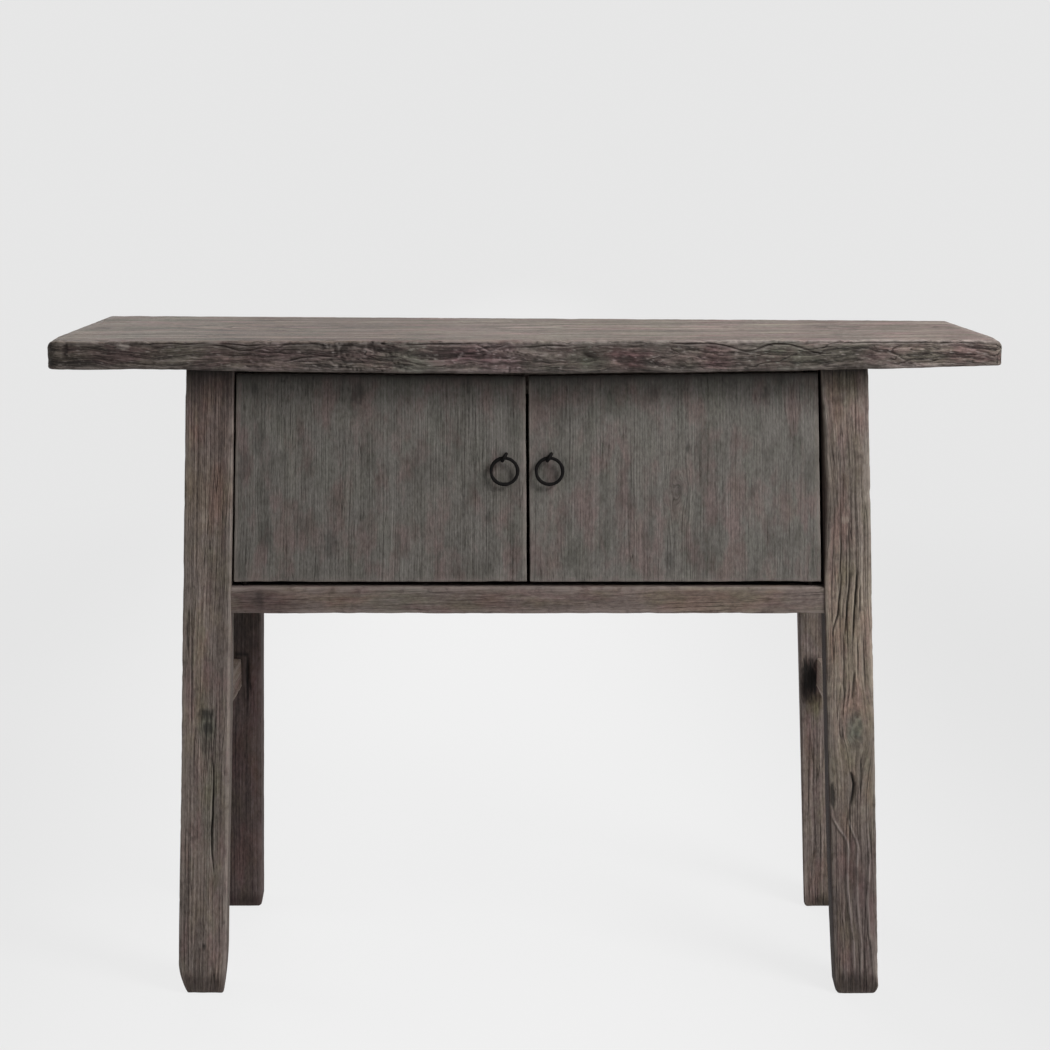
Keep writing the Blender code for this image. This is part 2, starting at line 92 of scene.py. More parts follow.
def calc(tree, operation, a, b=0.0, c=0.0):
    return addNode(tree, "ShaderNodeMath", {0: a, 1: b, 2: c}, operation=operation).outputs[0]


def vectorLength(tree, vector):
    return addNode(tree, "ShaderNodeVectorMath", {0: vector}, operation="LENGTH").outputs["Value"]


def blendColour(tree, factor, a, b, mode="MIX"):
    links = {0: factor, 6: a, 7: b}
    return addNode(tree, "ShaderNodeMix", links, data_type="RGBA", blend_type=mode).outputs[2]


def blendShaders(tree, factor, a, b):
    return addNode(tree, "ShaderNodeMixShader", {0: factor, 1: a, 2: b}).outputs[0]


def remap(tree, value, fromRange, toRange=(0.0, 1.0), curve="LINEAR"):
    links = {0: value, 1: fromRange[0], 2: fromRange[1], 3: toRange[0], 4: toRange[1]}
    return addNode(tree, "ShaderNodeMapRange", links, interpolation_type=curve).outputs[0]


def ramp(tree, factor, stops):
    made = addNode(tree, "ShaderNodeValToRGB", {0: factor})
    elements = made.color_ramp.elements
    while len(elements) < len(stops):
        elements.new(0.5)
    for element, (position, colour) in zip(elements, stops):
        element.position = position
        element.color = (*colour, 1.0)
    return made.outputs["Color"]


def stretchedNoise(tree, vector, stretch, detail=3.0, roughness=0.55, shift=(0, 0, 0)):
    links = {"Vector": vector, "Scale": stretch, "Location": shift}
    mapped = addNode(tree, "ShaderNodeMapping", links).outputs[0]
    links = {"Vector": mapped, "Scale": 1.0, "Detail": detail, "Roughness": roughness}
    return addNode(tree, "ShaderNodeTexNoise", links).outputs[0]


def objectSpot(tree):
    return addNode(tree, "ShaderNodeTexCoord").outputs["Object"]


# Stage: one pale floor that melts into the background, and soft studio lamps
stageLook = {
    "background": (0.795, 0.795, 0.795),
    "middle": (0.895, 0.895, 0.895),  # painted pool of light: the paler glow round the table
    "poolSize": (1.1, 16.0),  # half length of that pool in X and Y
    "poolShift": 0.10,  # how far its middle lies to the left
    "poolFade": (0.1, 1.05),  # where it starts to fade and where it ends, as shares of its size
    "floorSize": 60.0,
    "floorColour": (0.66, 0.66, 0.66),
    "shadowShare": 0.10,  # how much of the floor's own light and shadow the camera sees
    "shadowReach": (0.9, 4.0),  # metres from the middle where the floor fades into the background
    "skyStrength": 0.13,
}
lamps = {
    "keyLamp": {"place": (1.7, -1.45, 2.4), "aim": (0, 0, 0.6), "size": (0.9, 0.9), "power": 66},
    "sideLamp": {"place": (1.7, -2.1, 0.8), "aim": (0, 0, 0.35), "size": (1.0, 1.0), "power": 10},
    "fillLamp": {"place": (-0.4, -3.2, 1.5), "aim": (0, 0, 0.5), "size": (1.5, 1.5), "power": 4},
    "topLamp": {"place": (0.1, 0.25, 3.0), "aim": (0, 0, 0.8), "size": (2.4, 1.6), "power": 25},
    "backLamp": {"place": (-0.7, 2.5, 2.0), "aim": (0, 0, 0.5), "size": (1.6, 1.6), "power": 34},
    "endLamp": {"place": (-2.0, 0.45, 1.3), "aim": (-0.45, 0, 0.5), "size": (0.7, 0.7), "power": 8},
}


def clearTree(owner):
    owner.use_nodes = True
    owner.node_tree.nodes.clear()
    return owner.node_tree


def seenDirectly(tree):
    # by the camera, in a reflection or through glass
    rays = addNode(tree, "ShaderNodeLightPath").outputs
    seen = calc(tree, "MAXIMUM", rays["Is Camera Ray"], rays["Is Glossy Ray"])
    return calc(tree, "MAXIMUM", seen, rays["Is Transmission Ray"])


def makeFloor(look):
    bm = bmesh.new()
    bmesh.ops.create_grid(bm, x_segments=1, y_segments=1, size=look["floorSize"] / 2)
    mesh = bpy.data.meshes.new("studioFloor")
    bm.to_mesh(mesh)
    bm.free()
    floor = bpy.data.objects.new("studioFloor", mesh)
    scene.collection.objects.link(floor)

    material = bpy.data.materials.new("paleFloor")
    tree = clearTree(material)
    paint = addNode(tree, "ShaderNodeBsdfDiffuse", {"Color": (*look["floorColour"], 1)})
    spot = objectSpot(tree)
    poolX, poolY = look["poolSize"]
    links = {0: spot, 1: (1 / poolX, 1 / poolY, 1), 2: (look["poolShift"] / poolX, 0, 0)}
    pool = addNode(tree, "ShaderNodeVectorMath", links, operation="MULTIPLY_ADD").outputs[0]
    # painted pool of light on the floor, fading out from the table
    pool = remap(tree, vectorLength(tree, pool), look["poolFade"], curve="SMOOTHSTEP")
    glowColour = blendColour(tree, pool, (*look["middle"], 1), (*look["background"], 1))
    glow = addNode(tree, "ShaderNodeEmission", {"Color": glowColour, "Strength": 1.0})
    lit = (1.0 - look["shadowShare"], 1.0)
    faded = remap(tree, vectorLength(tree, spot), look["shadowReach"], lit, "SMOOTHSTEP")
    share = calc(tree, "MULTIPLY", seenDirectly(tree), faded)
    above = blendShaders(tree, share, paint.outputs[0], glow.outputs[0])
    # seen from below the floor is clear, so that the underside can be looked at
    below = addNode(tree, "ShaderNodeNewGeometry").outputs["Backfacing"]
    clear = addNode(tree, "ShaderNodeBsdfTransparent").outputs[0]
    addNode(tree, "ShaderNodeOutputMaterial", {0: blendShaders(tree, below, above, clear)})
    mesh.materials.append(material)


def makeSky(look):
    scene.world = bpy.data.worlds.new("studioSky")
    tree = clearTree(scene.world)
    shades = []
    for colour, strength in (((1, 1, 1), look["skyStrength"]), (look["background"], 1.0)):
        links = {"Color": (*colour, 1), "Strength": strength}
        shades.append(addNode(tree, "ShaderNodeBackground", links).outputs[0])
    addNode(tree, "ShaderNodeOutputWorld", {0: blendShaders(tree, seenDirectly(tree), *shades)})


def addLamp(name, lamp):
    data = bpy.data.lights.new(name, "AREA")
    data.shape = "RECTANGLE"
    data.size, data.size_y = lamp["size"]
    data.energy = lamp["power"]
    obj = bpy.data.objects.new(name, data)
    obj.location = lamp["place"]
    run = Vector(lamp["aim"]) - Vector(lamp["place"])
    obj.rotation_euler = run.to_track_quat("-Z", "Y").to_euler()
    scene.collection.objects.link(obj)


makeFloor(stageLook)
makeSky(stageLook)
for lampName, lamp in lamps.items():
    addLamp(lampName, lamp)
print("stage and lamps set")


# Sizes of the table that the pieces are drawn from, in metres as in the frame
tableShape = {
    "height": 0.875,
    "length": 1.212,
    "depth": 0.390,
    "endThickness": 0.033,
    "belly": 0.0095,  # how far the underside of the top sags to the middle
    "footSpread": (0.4675, 0.1955),  # half spread of the legs' outer faces on the floor, X and Y
    "headSpread": (0.4405, 0.159),  # the same under the top
    "legSection": (0.061, 0.053),
    "doorRecess": 0.008,
    "doorThickness": 0.018,
    "doorSideGap": 0.0035,
}


def underside(x):
    share = 2 * x / tableShape["length"]
    sag = tableShape["belly"] * (1 - share * share)
    return tableShape["height"] - tableShape["endThickness"] - sag


headHeight = underside(0.0)


def outer(axis, z):
    foot, head = tableShape["footSpread"][axis], tableShape["headSpread"][axis]
    return foot + (head - foot) * z / headHeight


def inner(axis, z):
    return outer(axis, z) - tableShape["legSection"][axis]


def heightRange(node):
    low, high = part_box(node)
    return low.z, high.z


# Noise on arrays of points: gradient noise of about -1 to 1
scatter = {"start": 374761393, "seed": 668265263, "stir": 1274126177}  # large odd numbers
noiseGain = 1.5


def noise3(x, y, z, seed=0):
    x, y, z = np.broadcast_arrays(*(np.asarray(c, float) for c in (x, y, z)))
    cells = [np.floor(c).astype(np.int64) for c in (x, y, z)]
    parts = [c - cell for c, cell in zip((x, y, z), cells)]
    eased = [f * f * f * (f * (f * 6 - 15) + 10) for f in parts]
    total = np.zeros(x.shape)
    for corner in np.ndindex(2, 2, 2):
        mixed = np.full(x.shape, seed * scatter["seed"] + scatter["start"], np.int64)
        weight = np.ones(x.shape)
        for axis, step in enumerate(corner):
            mixed = (mixed ^ (cells[axis] + step)) * scatter["stir"]
            mixed = mixed ^ (mixed >> 15)
            weight = weight * (eased[axis] if step else 1 - eased[axis])
        slope = np.zeros(x.shape)
        for axis, step in enumerate(corner):
            slant = ((mixed >> (10 * axis)) & 1023) / 511.5 - 1  # ten bits for each axis
            slope = slope + slant * (parts[axis] - step)
        total = total + weight * slope
    return total * noiseGain


def ease(value, low, high):
    share = np.clip((value - low) / (high - low), 0, 1)
    return share * share * (3 - 2 * share)


def easeBetween(value, low, high, fade):
    return ease(value, low, low + fade) * ease(-value, -high, fade - high)


# Wood: how a timber has grown and weathered. Lengths in millimetres, places from its middle.
# The front is its face towards the lower end of the depth axis
plainTimber = {
    "seed": 1,  # picks the noises of its own
    "axes": (2, 0, 1),  # box axes along the grain, across the face and into the depth
    "pith": (20, 90),  # where the heart of the tree lies from the middle of the section
    "pithLean": (0.01, 0.03),  # its drift along the length
    "wander": 6,  # how far the heart strays from that line
    "wanderLength": 300,
    "ringGap": 4.6,  # mean width of a growth ring
    "warps": [(1.2, 90, 30)],  # bends of the rings: size, length along and across the grain
    "furrow": 0.6,  # depth of the furrows between the growth rings
    "furrowShape": 1.4,  # above 1 narrow furrows, below 1 narrow ridges
    "endFurrow": 0.3,  # share of that depth on the sawn ends
    "sideFurrow": 1.0,  # share of that depth on the faces to both sides of the front
    "fibre": 0.15,  # depth of the fine fibres
    "hollow": 0.0,  # depth of the hand-hewn hollows on the front
    "edgeGrime": 0.0,  # how dark the front, the back and the ends have gone: weathered darker, and painted shade for the self-shadowing of their rough surface
    "wave": 0.5,  # how far it is out of true
    "chip": 0.6,  # how deep its arrises are chipped
    "chipReach": 4,
    "chipLength": 45,
    "rounding": 3,  # of its arrises
    "spacing": (6, 1.6, 1.6),  # mesh spacing along the grain, across and into the depth
    "knots": [],  # along, across, radius, darkness, how much its rings close round it
    "smudges": [],  # along, across, half length, half width, darkness (below 0 a pale chip)
    "tint": (1.0, 1.0, 1.0),  # of the whole timber
    "stains": [],  # along, across, half length, half width, tint
    "sideTints": [],  # side across, from, to, length of the fade, full so far behind the front, tint
    "headGrime": [],  # painted shade on the front below its upper end, under the top plank: how dark, how far down
    "furrowGrime": 0.0,  # how dark the furrows on the front are painted: dirt, and painted shade in them
    "flecks": 0.0,  # how pale the small chips on the front are
    "quiet": 0.0,  # how much quieter the streaks are to both sides of the front
    "cracks": [],  # points along and across, half width, depth (below 0 a ridge)
    "toolMarks": [],  # along, half length, slant, depth
    "nicks": [],  # front arris: side across, bite, reach, length
    "nickGrime": 0.0,  # how dark the nicks are painted: dirt, and painted shade in them
    "waney": [],  # front arris cut away: side across, from, to, cut, reach into the depth
    "taper": [],  # side across, cuts on its front and back edges at the foot, the same at the head
    "wornEnds": [],  # end (-1 or 1), side across, length, cut
}

# What all timbers share. Lengths are along and across the grain. A level is what a noise becomes:
# its middle, swing and least value. The last two numbers of a rim or hollow pick its own noise
weather = {
    "knotBend": (0.25, 30, 0.04),  # how much its line bends, over what length, step to its own noise
    "knotReach": (5.0, 2.2),  # how far fibres part round it, along and across, in its radii
    "knotPush": 0.7,
    "knotLength": 1.9,  # half length of its dark core in its radii
    "knotRims": [(0.35, (14, 7), 0.06, 27)],
    "quietWarps": 1.4,  # how much the small bends of the rings die down on a quiet face
    "ringUneven": (0.8, 2.6),  # how unequal the rings are, over how many of them
    "ringLength": 200, "ringLevel": (0.6, 0.55, 0.12),
    "ringSteps": (0.73, 0.31),  # from ring to ring through the noise of their depths
    "patches": (160, 50), "patchLevel": (0.65, 0.6, 0.15),
    "fibre": (30, 2.2), "flecks": (6, 2.2), "fleckLevel": (-0.9, 3.0),
    "darkFurrow": 1.4,  # a furrow this deep holds the most shade
    "hollows": [(1.0, (50, 15), 3.5, 12), (0.5, (17, 6), 5.5, 13), (0.4, (7, 3.5), 7.5, 28)],
    "hollowLevel": (0.15, 1.0),
    "strokePitch": 6.2, "strokeBend": (0.7, (20, 12)), "strokeDark": 0.9,
    "strokePatches": (13, 8), "strokeLevel": (0.3, 1.6), "strokeFade": 0.5,
    "crackWaver": (0.5, 14), "crackSwell": 30, "crackLevel": (0.95, 0.5, 0.45),
    "crackEnds": 0.4,  # below 1 the ends of a crack are blunt
    "crackTip": 0.45,  # width of its ends as a share
    "darkCrack": 2.6,  # a crack this deep gets the darkest painted shade
    # level of the painted shade inside a crack
    "crackDark": (-0.1, 1.5),
    "crackLip": (0.7, 2.1),  # how bright the painted highlight on one lip is, how many half widths away
    "ridgePale": 2.4, "ridgeFoot": (0.45, 2.2),  # how dark the painted shadow at its foot is, how many half widths away
    "smudgeRims": [(0.5, (9, 3.5), 0.09, 17), (0.4, (4, 1.5), 0.05, 21)],
    "smudgeEdge": (1.35, 0.8),  # where its rim ends and how wide the rim is, as shares of its size
    "smudgeDepth": 1.2,
    "stainRims": [(0.3, (20, 8), 0.07, 25)], "stainEdge": (1.2, 0.9),
    "stainBehind": 0.3,  # how much of a stain the other faces take
    "arris": 5,  # how far the wear of an arris reaches
    "chipLevel": (0.1, 1.0), "smallChips": (0.5, 3.1),  # share of smaller chips, how much smaller
    "smallNicks": (0.7, 0.35),  # share of shorter nicks, how short they are as a share
    "nickDepth": 0.8,  # bite into the depth as a share of the bite across
    "waneyFade": 70, "waneyLength": 80, "waneySwing": (0.8, 0.5), "waneyShape": 1.5,
    "wornShape": (1.8, 2),  # powers that the wear of an end grows with, along and across
    "waveLengths": (210, 240),  # across and into the depth
    "sideFade": 0.2,  # where a side tint starts, as a share of where it is full
    "seedShift": (0.013, 0.31, 0.007),  # metres between the grain of one seed and the next
    "pathSteps": 121, "pathSoftness": 15,  # points of a crack's path, how many are smoothed together
}


# How a timber's straight block is meshed
blockMesh = {
    "cornerSteps": 5,  # segments round the corners of the plan, which only the top plank has rounded
    "arrisSteps": 2,  # segments round the arrises
    "straight": 0.98,  # an edge runs along an axis if this share of its length does
    "longEdges": 0.9,  # edges this near to the longest are cut into steps
    "flat": 1e-6,  # metres that a level edge may rise
}


def edgesAlong(bm, axis):
    found = []
    for edge in bm.edges:
        run = edge.verts[1].co - edge.verts[0].co
        if abs(run[axis]) > blockMesh["straight"] * run.length:
            found.append(edge)
    return found


def roundEdges(bm, edges, offset, segments):
    bmesh.ops.bevel(
        bm, geom=edges, offset=offset, segments=segments, profile=0.5, affect="EDGES", material=-1
    )


def timberBlock(size, timber):
    bm = bmesh.new()
    bmesh.ops.create_cube(bm, size=1.0)
    bmesh.ops.scale(bm, vec=size, verts=bm.verts)
    rims = bm.edges[:]
    if "cornerRound" in timber:
        roundEdges(bm, edgesAlong(bm, 2), timber["cornerRound"] * mm, blockMesh["cornerSteps"])
        rims = [e for e in bm.edges if abs(e.verts[0].co.z - e.verts[1].co.z) < blockMesh["flat"]]
    roundEdges(bm, rims, timber["rounding"] * mm, blockMesh["arrisSteps"])
    for axis in range(3):
        edges = edgesAlong(bm, axis)
        longest = max(e.calc_length() for e in edges)
        edges = [e for e in edges if e.calc_length() > blockMesh["longEdges"] * longest]
        gap = timber["spacing"][timber["axes"].index(axis)] * mm
        cuts = max(0, round(longest / gap) - 1)
        if cuts:
            bmesh.ops.subdivide_edges(bm, edges=edges, cuts=cuts, use_grid_fill=True)
    return bm


def softPath(t, points):
    # a smooth line through a few points, from the place along the grain to the place across it
    along, across = np.array(points, float).T
    grid = np.linspace(along[0], along[-1], weather["pathSteps"])
    window = np.hanning(weather["pathSoftness"])
    line = np.pad(np.interp(grid, along, across), len(window) // 2, mode="edge")
    return np.interp(t, grid, np.convolve(line, window / window.sum(), mode="valid"))


def tinted(stain, share, tint):
    return stain * (1 + share[:, None] * (np.array(tint) - 1))


def level(noise, middle, swing, least=0.0):
    return np.clip(middle + swing * noise, least, 1)


class TimberPoints:
    # the points of a block: t along the grain, a across the face, d into the depth
    def __init__(self, co, normal, size, timber):
        self.co, self.normal, self.size = co, normal, size
        self.seed = timber["seed"]
        self.half = size / 2
        self.alongAxis, self.acrossAxis, self.depthAxis = timber["axes"]
        self.t, self.a, self.d = (co[:, axis] for axis in timber["axes"])
        # how much each point lies on an end, to the sides of the front, on the front or back
        self.onEnd, self.onSide, self.onFace = (normal[:, axis] ** 2 for axis in timber["axes"])
        self.onFront = np.clip(-normal[:, self.depthAxis], 0, 1)
        self.toFront = np.clip(0.5 - self.d / size[self.depthAxis], 0, 1)
        self.fromFront = self.half[self.depthAxis] + self.d
        self.quiet = timber["quiet"] * self.onSide
        self.dark = np.zeros(len(co))
        self.pale = np.zeros(len(co))

    def noiseAlong(self, length, row, layer, number):
        return noise3(self.t / length, row, layer, self.seed + number)

    def noiseOver(self, lengths, layer, number):
        return noise3(self.t / lengths[0], self.a / lengths[1], layer, self.seed + number)

    def noiseThrough(self, lengths, number):
        return self.noiseOver(lengths, self.d / lengths[1], number)

    def ragged(self, far, place, rims):
        for share, lengths, step, number in rims:
            far = far + share * self.noiseOver(lengths, place * step, number)
        return far

    def covered(self, mark, rims, edge):
        # 1 on a mark and 0 beyond its ragged rim
        far = np.hypot((self.t - mark[0]) / mark[2], (self.a - mark[1]) / mark[3])
        return ease(edge[0] - self.ragged(far, mark[0], rims), 0, edge[1])

    def darken(self, share):
        self.dark = np.maximum(self.dark, share)

    def lighten(self, share):
        self.pale = np.maximum(self.pale, share)


def partRoundKnots(wood, timber):
    # returns where the fibres lie across the face, and how the rings close round the knots
    bentA = wood.a.copy()
    swirl = np.zeros(len(wood.t))
    bend, bendLength, step = weather["knotBend"]
    reachT, reachA = weather["knotReach"]
    for knotT, knotA, radius, darkness, closing in timber["knots"]:
        offT = wood.t - knotT
        waver = noise3(offT / bendLength, knotT * step, 0.5, wood.seed)
        offA = wood.a - knotA + bend * offT * waver
        spread = np.exp(-((offA / (reachA * radius)) ** 2) - (offT / (reachT * radius)) ** 2)
        bentA = bentA - offA * weather["knotPush"] * spread * wood.toFront
        far = np.hypot(offA / radius, offT / (weather["knotLength"] * radius))
        core = np.exp(-(wood.ragged(far, knotT, weather["knotRims"]) ** 2)) * wood.toFront
        wood.darken(core * darkness * wood.onFront)
        swirl = swirl + closing * radius * core
    return bentA, swirl


def growRings(wood, timber):
    # rings round a pith that wanders along the length
    bentA, swirl = partRoundKnots(wood, timber)
    pith = []
    for start, lean, row in zip(timber["pith"], timber["pithLean"], (0.5, 4.5)):
        stray = wood.noiseAlong(timber["wanderLength"], row, 0.5, 0)
        pith.append(start + lean * wood.t + timber["wander"] * stray)
    offA, offD = bentA - pith[0], wood.d - pith[1]
    radius = np.hypot(offA, offD) + swirl
    for number, (bend, *lengths) in enumerate(timber["warps"]):
        bend = bend * (1 - weather["quietWarps"] * wood.quiet) if number else bend
        radius = radius + bend * wood.noiseThrough(lengths, 20 + number)
    gap = timber["ringGap"]
    uneven, count = weather["ringUneven"]
    wood.radius = radius
    wood.around = np.arctan2(offA, -offD) * np.hypot(*timber["pith"])
    wood.rings = radius / gap + uneven * noise3(radius / (count * gap), 0.5, 0.5, wood.seed + 2)


def furrowRings(wood, timber):
    # each ring weathers by its own depth, deeper in some patches
    ring = np.floor(wood.rings)
    within = wood.rings - ring
    stepX, stepZ = weather["ringSteps"]
    own = noise3(ring * stepX, wood.t / weather["ringLength"], ring * stepZ, wood.seed + 3)
    furrow = np.sin(np.pi * within) ** timber["furrowShape"] * level(own, *weather["ringLevel"])
    patchy = level(wood.noiseThrough(weather["patches"], 4), *weather["patchLevel"])
    depth = timber["furrow"] * patchy
    depth = depth * (timber["sideFurrow"] + (1 - timber["sideFurrow"]) * wood.onFace)
    depth = depth * (1 - (1 - timber["endFurrow"]) * wood.onEnd)
    length, width = weather["fibre"]
    fibre = noise3(wood.radius / width, wood.t / length, wood.around / width, wood.seed + 5)
    wood.sunk = depth * furrow + timber["fibre"] * (0.5 + 0.5 * fibre)
    # dirt and painted shade in the furrows of the front
    wood.darken(timber["furrowGrime"] * furrow ** 2 * patchy * wood.onFront)
    flecks = level(wood.noiseThrough(weather["flecks"], 26), *weather["fleckLevel"])
    wood.lighten(timber["flecks"] * flecks * wood.onFront)
    wood.relief = 1 - np.clip(depth * furrow / weather["darkFurrow"], 0, 1)
    # front, back and ends darkened: weathering, and painted shade for their rough self-shadowing
    wood.relief *= 1 - timber["edgeGrime"] * np.maximum(wood.onFace, wood.onEnd)


def hewFront(wood, timber):
    # hollows of the adze and strokes of the chisel
    if timber["hollow"]:
        dip = sum(share * wood.noiseOver(*noise) for share, *noise in weather["hollows"])
        wood.sunk += timber["hollow"] * level(dip, *weather["hollowLevel"]) * wood.onFront
    bend, lengths = weather["strokeBend"]
    for markT, markHalf, slant, depth in timber["toolMarks"]:
        window = ease(1 - np.abs(wood.t - markT) / markHalf, 0, weather["strokeFade"])
        phase = (wood.t - slant * wood.a) / weather["strokePitch"]
        phase = phase + bend * wood.noiseOver(lengths, 0.5, 14)
        patches = wood.noiseOver(weather["strokePatches"], 2.5, 15)
        stroke = np.clip(np.sin(2 * np.pi * phase), 0, 1) ** 2
        stroke = stroke * level(patches, *weather["strokeLevel"]) * window * wood.onFront
        wood.sunk += depth * stroke
        wood.darken(weather["strokeDark"] * stroke)


def crackFront(wood, timber):
    # drying cracks with painted shade inside and a painted highlight on one lip, and weathered
    # ridges with a painted shadow at their foot
    waver, waverLength = weather["crackWaver"]
    lipHighlight, lipAway = weather["crackLip"]
    footShadow, footAway = weather["ridgeFoot"]
    tip = weather["crackTip"]
    for number, (points, halfWidth, depth) in enumerate(timber["cracks"]):
        row = number + 0.5
        path = softPath(wood.t, points) + waver * wood.noiseAlong(waverLength, row, 0.5, 6)
        start, end = points[0][0], points[-1][0]
        within = np.clip(1 - ((2 * wood.t - start - end) / (end - start)) ** 2, 0, 1)
        swell = wood.noiseAlong(weather["crackSwell"], row, 3.5, 16)
        share = within ** weather["crackEnds"] * level(swell, *weather["crackLevel"])
        off = (wood.a - path) / (halfWidth * (tip + (1 - tip) * share))
        share = share * wood.onFront
        line = share * np.exp(-(off ** 2))
        wood.sunk += depth * line
        if depth > 0:
            strength = min(1, depth / weather["darkCrack"])
            # painted shade inside the crack
            wood.darken(strength * level(line, *weather["crackDark"]))
            # painted highlight on the lip towards the light
            wood.lighten(lipHighlight * share * np.exp(-((off + lipAway) ** 2)))
        else:
            wood.lighten(weather["ridgePale"] * line)
            # painted shadow at the foot of the ridge
            wood.darken(footShadow * share * np.exp(-((off + footAway) ** 2)))


def smudgeFront(wood, timber):
    # dark dents and pale chips; on the back legs some dark blots are painted shadow
    for *smudge, darkness in timber["smudges"]:
        blot = wood.covered(smudge, weather["smudgeRims"], weather["smudgeEdge"]) * wood.onFront
        if darkness > 0:
            wood.sunk += weather["smudgeDepth"] * blot * darkness
            wood.darken(blot * darkness)
        else:
            wood.lighten(-blot * darkness)


def wearArrises(wood, timber):
    # every arris is rubbed and chipped
    inset = wood.half - np.abs(wood.co)
    wood.wear = np.zeros(len(wood.t))
    small, finer = weather["smallChips"]
    for run in range(3):
        i, j = [axis for axis in range(3) if axis != run]
        signI, signJ = np.sign(wood.co[:, i]), np.sign(wood.co[:, j])
        row = 2.0 * signI + 5.0 * signJ + 11 * run  # its own for each arris
        place = wood.co[:, run] / timber["chipLength"]
        bite = noise3(place, row, 0.5, wood.seed + 7)
        bite = bite + small * noise3(finer * place, row, 7.5, wood.seed + 8)
        bite = timber["chip"] * level(bite, *weather["chipLevel"])
        near = inset[:, i] + inset[:, j]
        pull = bite * np.exp(-((near / timber["chipReach"]) ** 2))
        wood.moved[:, i] -= signI * pull
        wood.moved[:, j] -= signJ * pull
        wood.wear = np.maximum(wood.wear, np.exp(-((near / weather["arris"]) ** 2)))


def nickFront(wood, timber):
    # deeper nicks in the arrises of the front
    small, shorter = weather["smallNicks"]
    for side, bite, reach, length in timber["nicks"]:
        row = side * 3.5
        nick = wood.noiseAlong(length, row, 0.5, 18)
        nick = nick + small * wood.noiseAlong(shorter * length, row, 4.5, 19)
        near = np.hypot(wood.half[wood.acrossAxis] - side * wood.a, wood.fromFront)
        share = np.clip(nick, 0, 1) * np.exp(-((near / reach) ** 2))
        wood.moved[:, wood.acrossAxis] -= side * bite * share
        wood.moved[:, wood.depthAxis] += weather["nickDepth"] * bite * share
        # dirt and painted shade in the nicks
        wood.darken(timber["nickGrime"] * share * wood.onFront)


def cutSides(wood, timber):
    # what was cut away or rubbed off: waney arris, taper and worn ends
    t, half = wood.t, wood.half

    def cutSide(side, cut, shape):
        toSide = np.clip(side * wood.a / half[wood.acrossAxis], 0, 1) ** shape
        wood.moved[:, wood.acrossAxis] -= side * cut * toSide

    middle, swing = weather["waneySwing"]
    for side, low, high, cut, reach in timber["waney"]:
        rough = wood.noiseAlong(weather["waneyLength"], side * 2.5, 0.5, 11)
        window = easeBetween(t, low, high, weather["waneyFade"]) * (middle + swing * rough)
        cut = cut * np.clip(1 - wood.fromFront / reach, 0, 1) * window
        cutSide(side, cut, weather["waneyShape"])
    for side, footFront, footBack, headFront, headBack in timber["taper"]:
        toFoot = np.clip(0.5 - t / wood.size[wood.alongAxis], 0, 1)
        front = headFront + (footFront - headFront) * toFoot
        back = headBack + (footBack - headBack) * toFoot
        cutSide(side, back + (front - back) * wood.toFront, 1)
    alongShape, acrossShape = weather["wornShape"]
    for end, side, length, cut in timber["wornEnds"]:
        fromEnd = half[wood.alongAxis] - end * t
        cutSide(side, cut * np.clip(1 - fromEnd / length, 0, 1) ** alongShape, acrossShape)


def waveTimber(wood, timber):
    # the slow waviness of a hand-sawn timber
    acrossWave, depthWave = weather["waveLengths"]
    wood.moved[:, wood.acrossAxis] += timber["wave"] * wood.noiseAlong(acrossWave, 0.5, 2.5, 9)
    wood.moved[:, wood.depthAxis] += timber["wave"] * wood.noiseAlong(depthWave, 0.5, 6.5, 10)


def stainWood(wood, timber):
    # returns the tint of every point, and how lively its streaks are
    stain = np.tile(np.array(timber["tint"], float), (len(wood.t), 1))
    behind = weather["stainBehind"]
    for *blot, tint in timber["stains"]:
        share = wood.covered(blot, weather["stainRims"], weather["stainEdge"])
        stain = tinted(stain, share * (behind + (1 - behind) * wood.onFront), tint)
    for side, low, high, fade, full, tint in timber["sideTints"]:
        share = np.clip(side * wood.normal[:, wood.acrossAxis], 0, 1)
        share = share * easeBetween(wood.t, low, high, fade)
        stain = tinted(stain, share * ease(wood.fromFront, weather["sideFade"] * full, full), tint)
    # painted shade on the front, below the top plank
    for headShadeDark, reach in timber["headGrime"]:
        fromHead = (wood.half[wood.alongAxis] - wood.t) / reach
        stain = tinted(stain, np.exp(-(fromHead ** 2)) * wood.onFront, 1 - headShadeDark)
    return np.column_stack([stain, 1 - wood.quiet])


def growTimber(co, normal, size, timber):
    wood = TimberPoints(co, normal, size, timber)
    for step in (growRings, furrowRings, hewFront, crackFront, smudgeFront):
        step(wood, timber)
    wood.moved = co - normal * wood.sunk[:, None]
    for step in (wearArrises, nickFront, cutSides, waveTimber):
        step(wood, timber)

    # what the material reads
    # the pale channel holds wear, pale chips and the painted highlight on crack lips
    wear = np.maximum(wood.wear * (1 - wood.dark), wood.pale)
    marks = np.stack([wood.relief, wear, np.clip(wood.dark, 0, 1), wood.rings], axis=1)
    grainAt = np.stack([wood.radius, wood.t, wood.around], axis=1) * mm
    grainAt = grainAt + wood.seed * np.array(weather["seedShift"])
    return wood.moved, grainAt, marks, stainWood(wood, timber)


def placePiece(node, ending, mesh, material):
    mesh.shade_smooth()
    mesh.materials.append(material)
    obj = bpy.data.objects.new(node + ending, mesh)
    scene.collection.objects.link(obj)
    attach(obj, bodyOf[node])
    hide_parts(node)
    print("  ", obj.name, len(mesh.polygons), "faces")


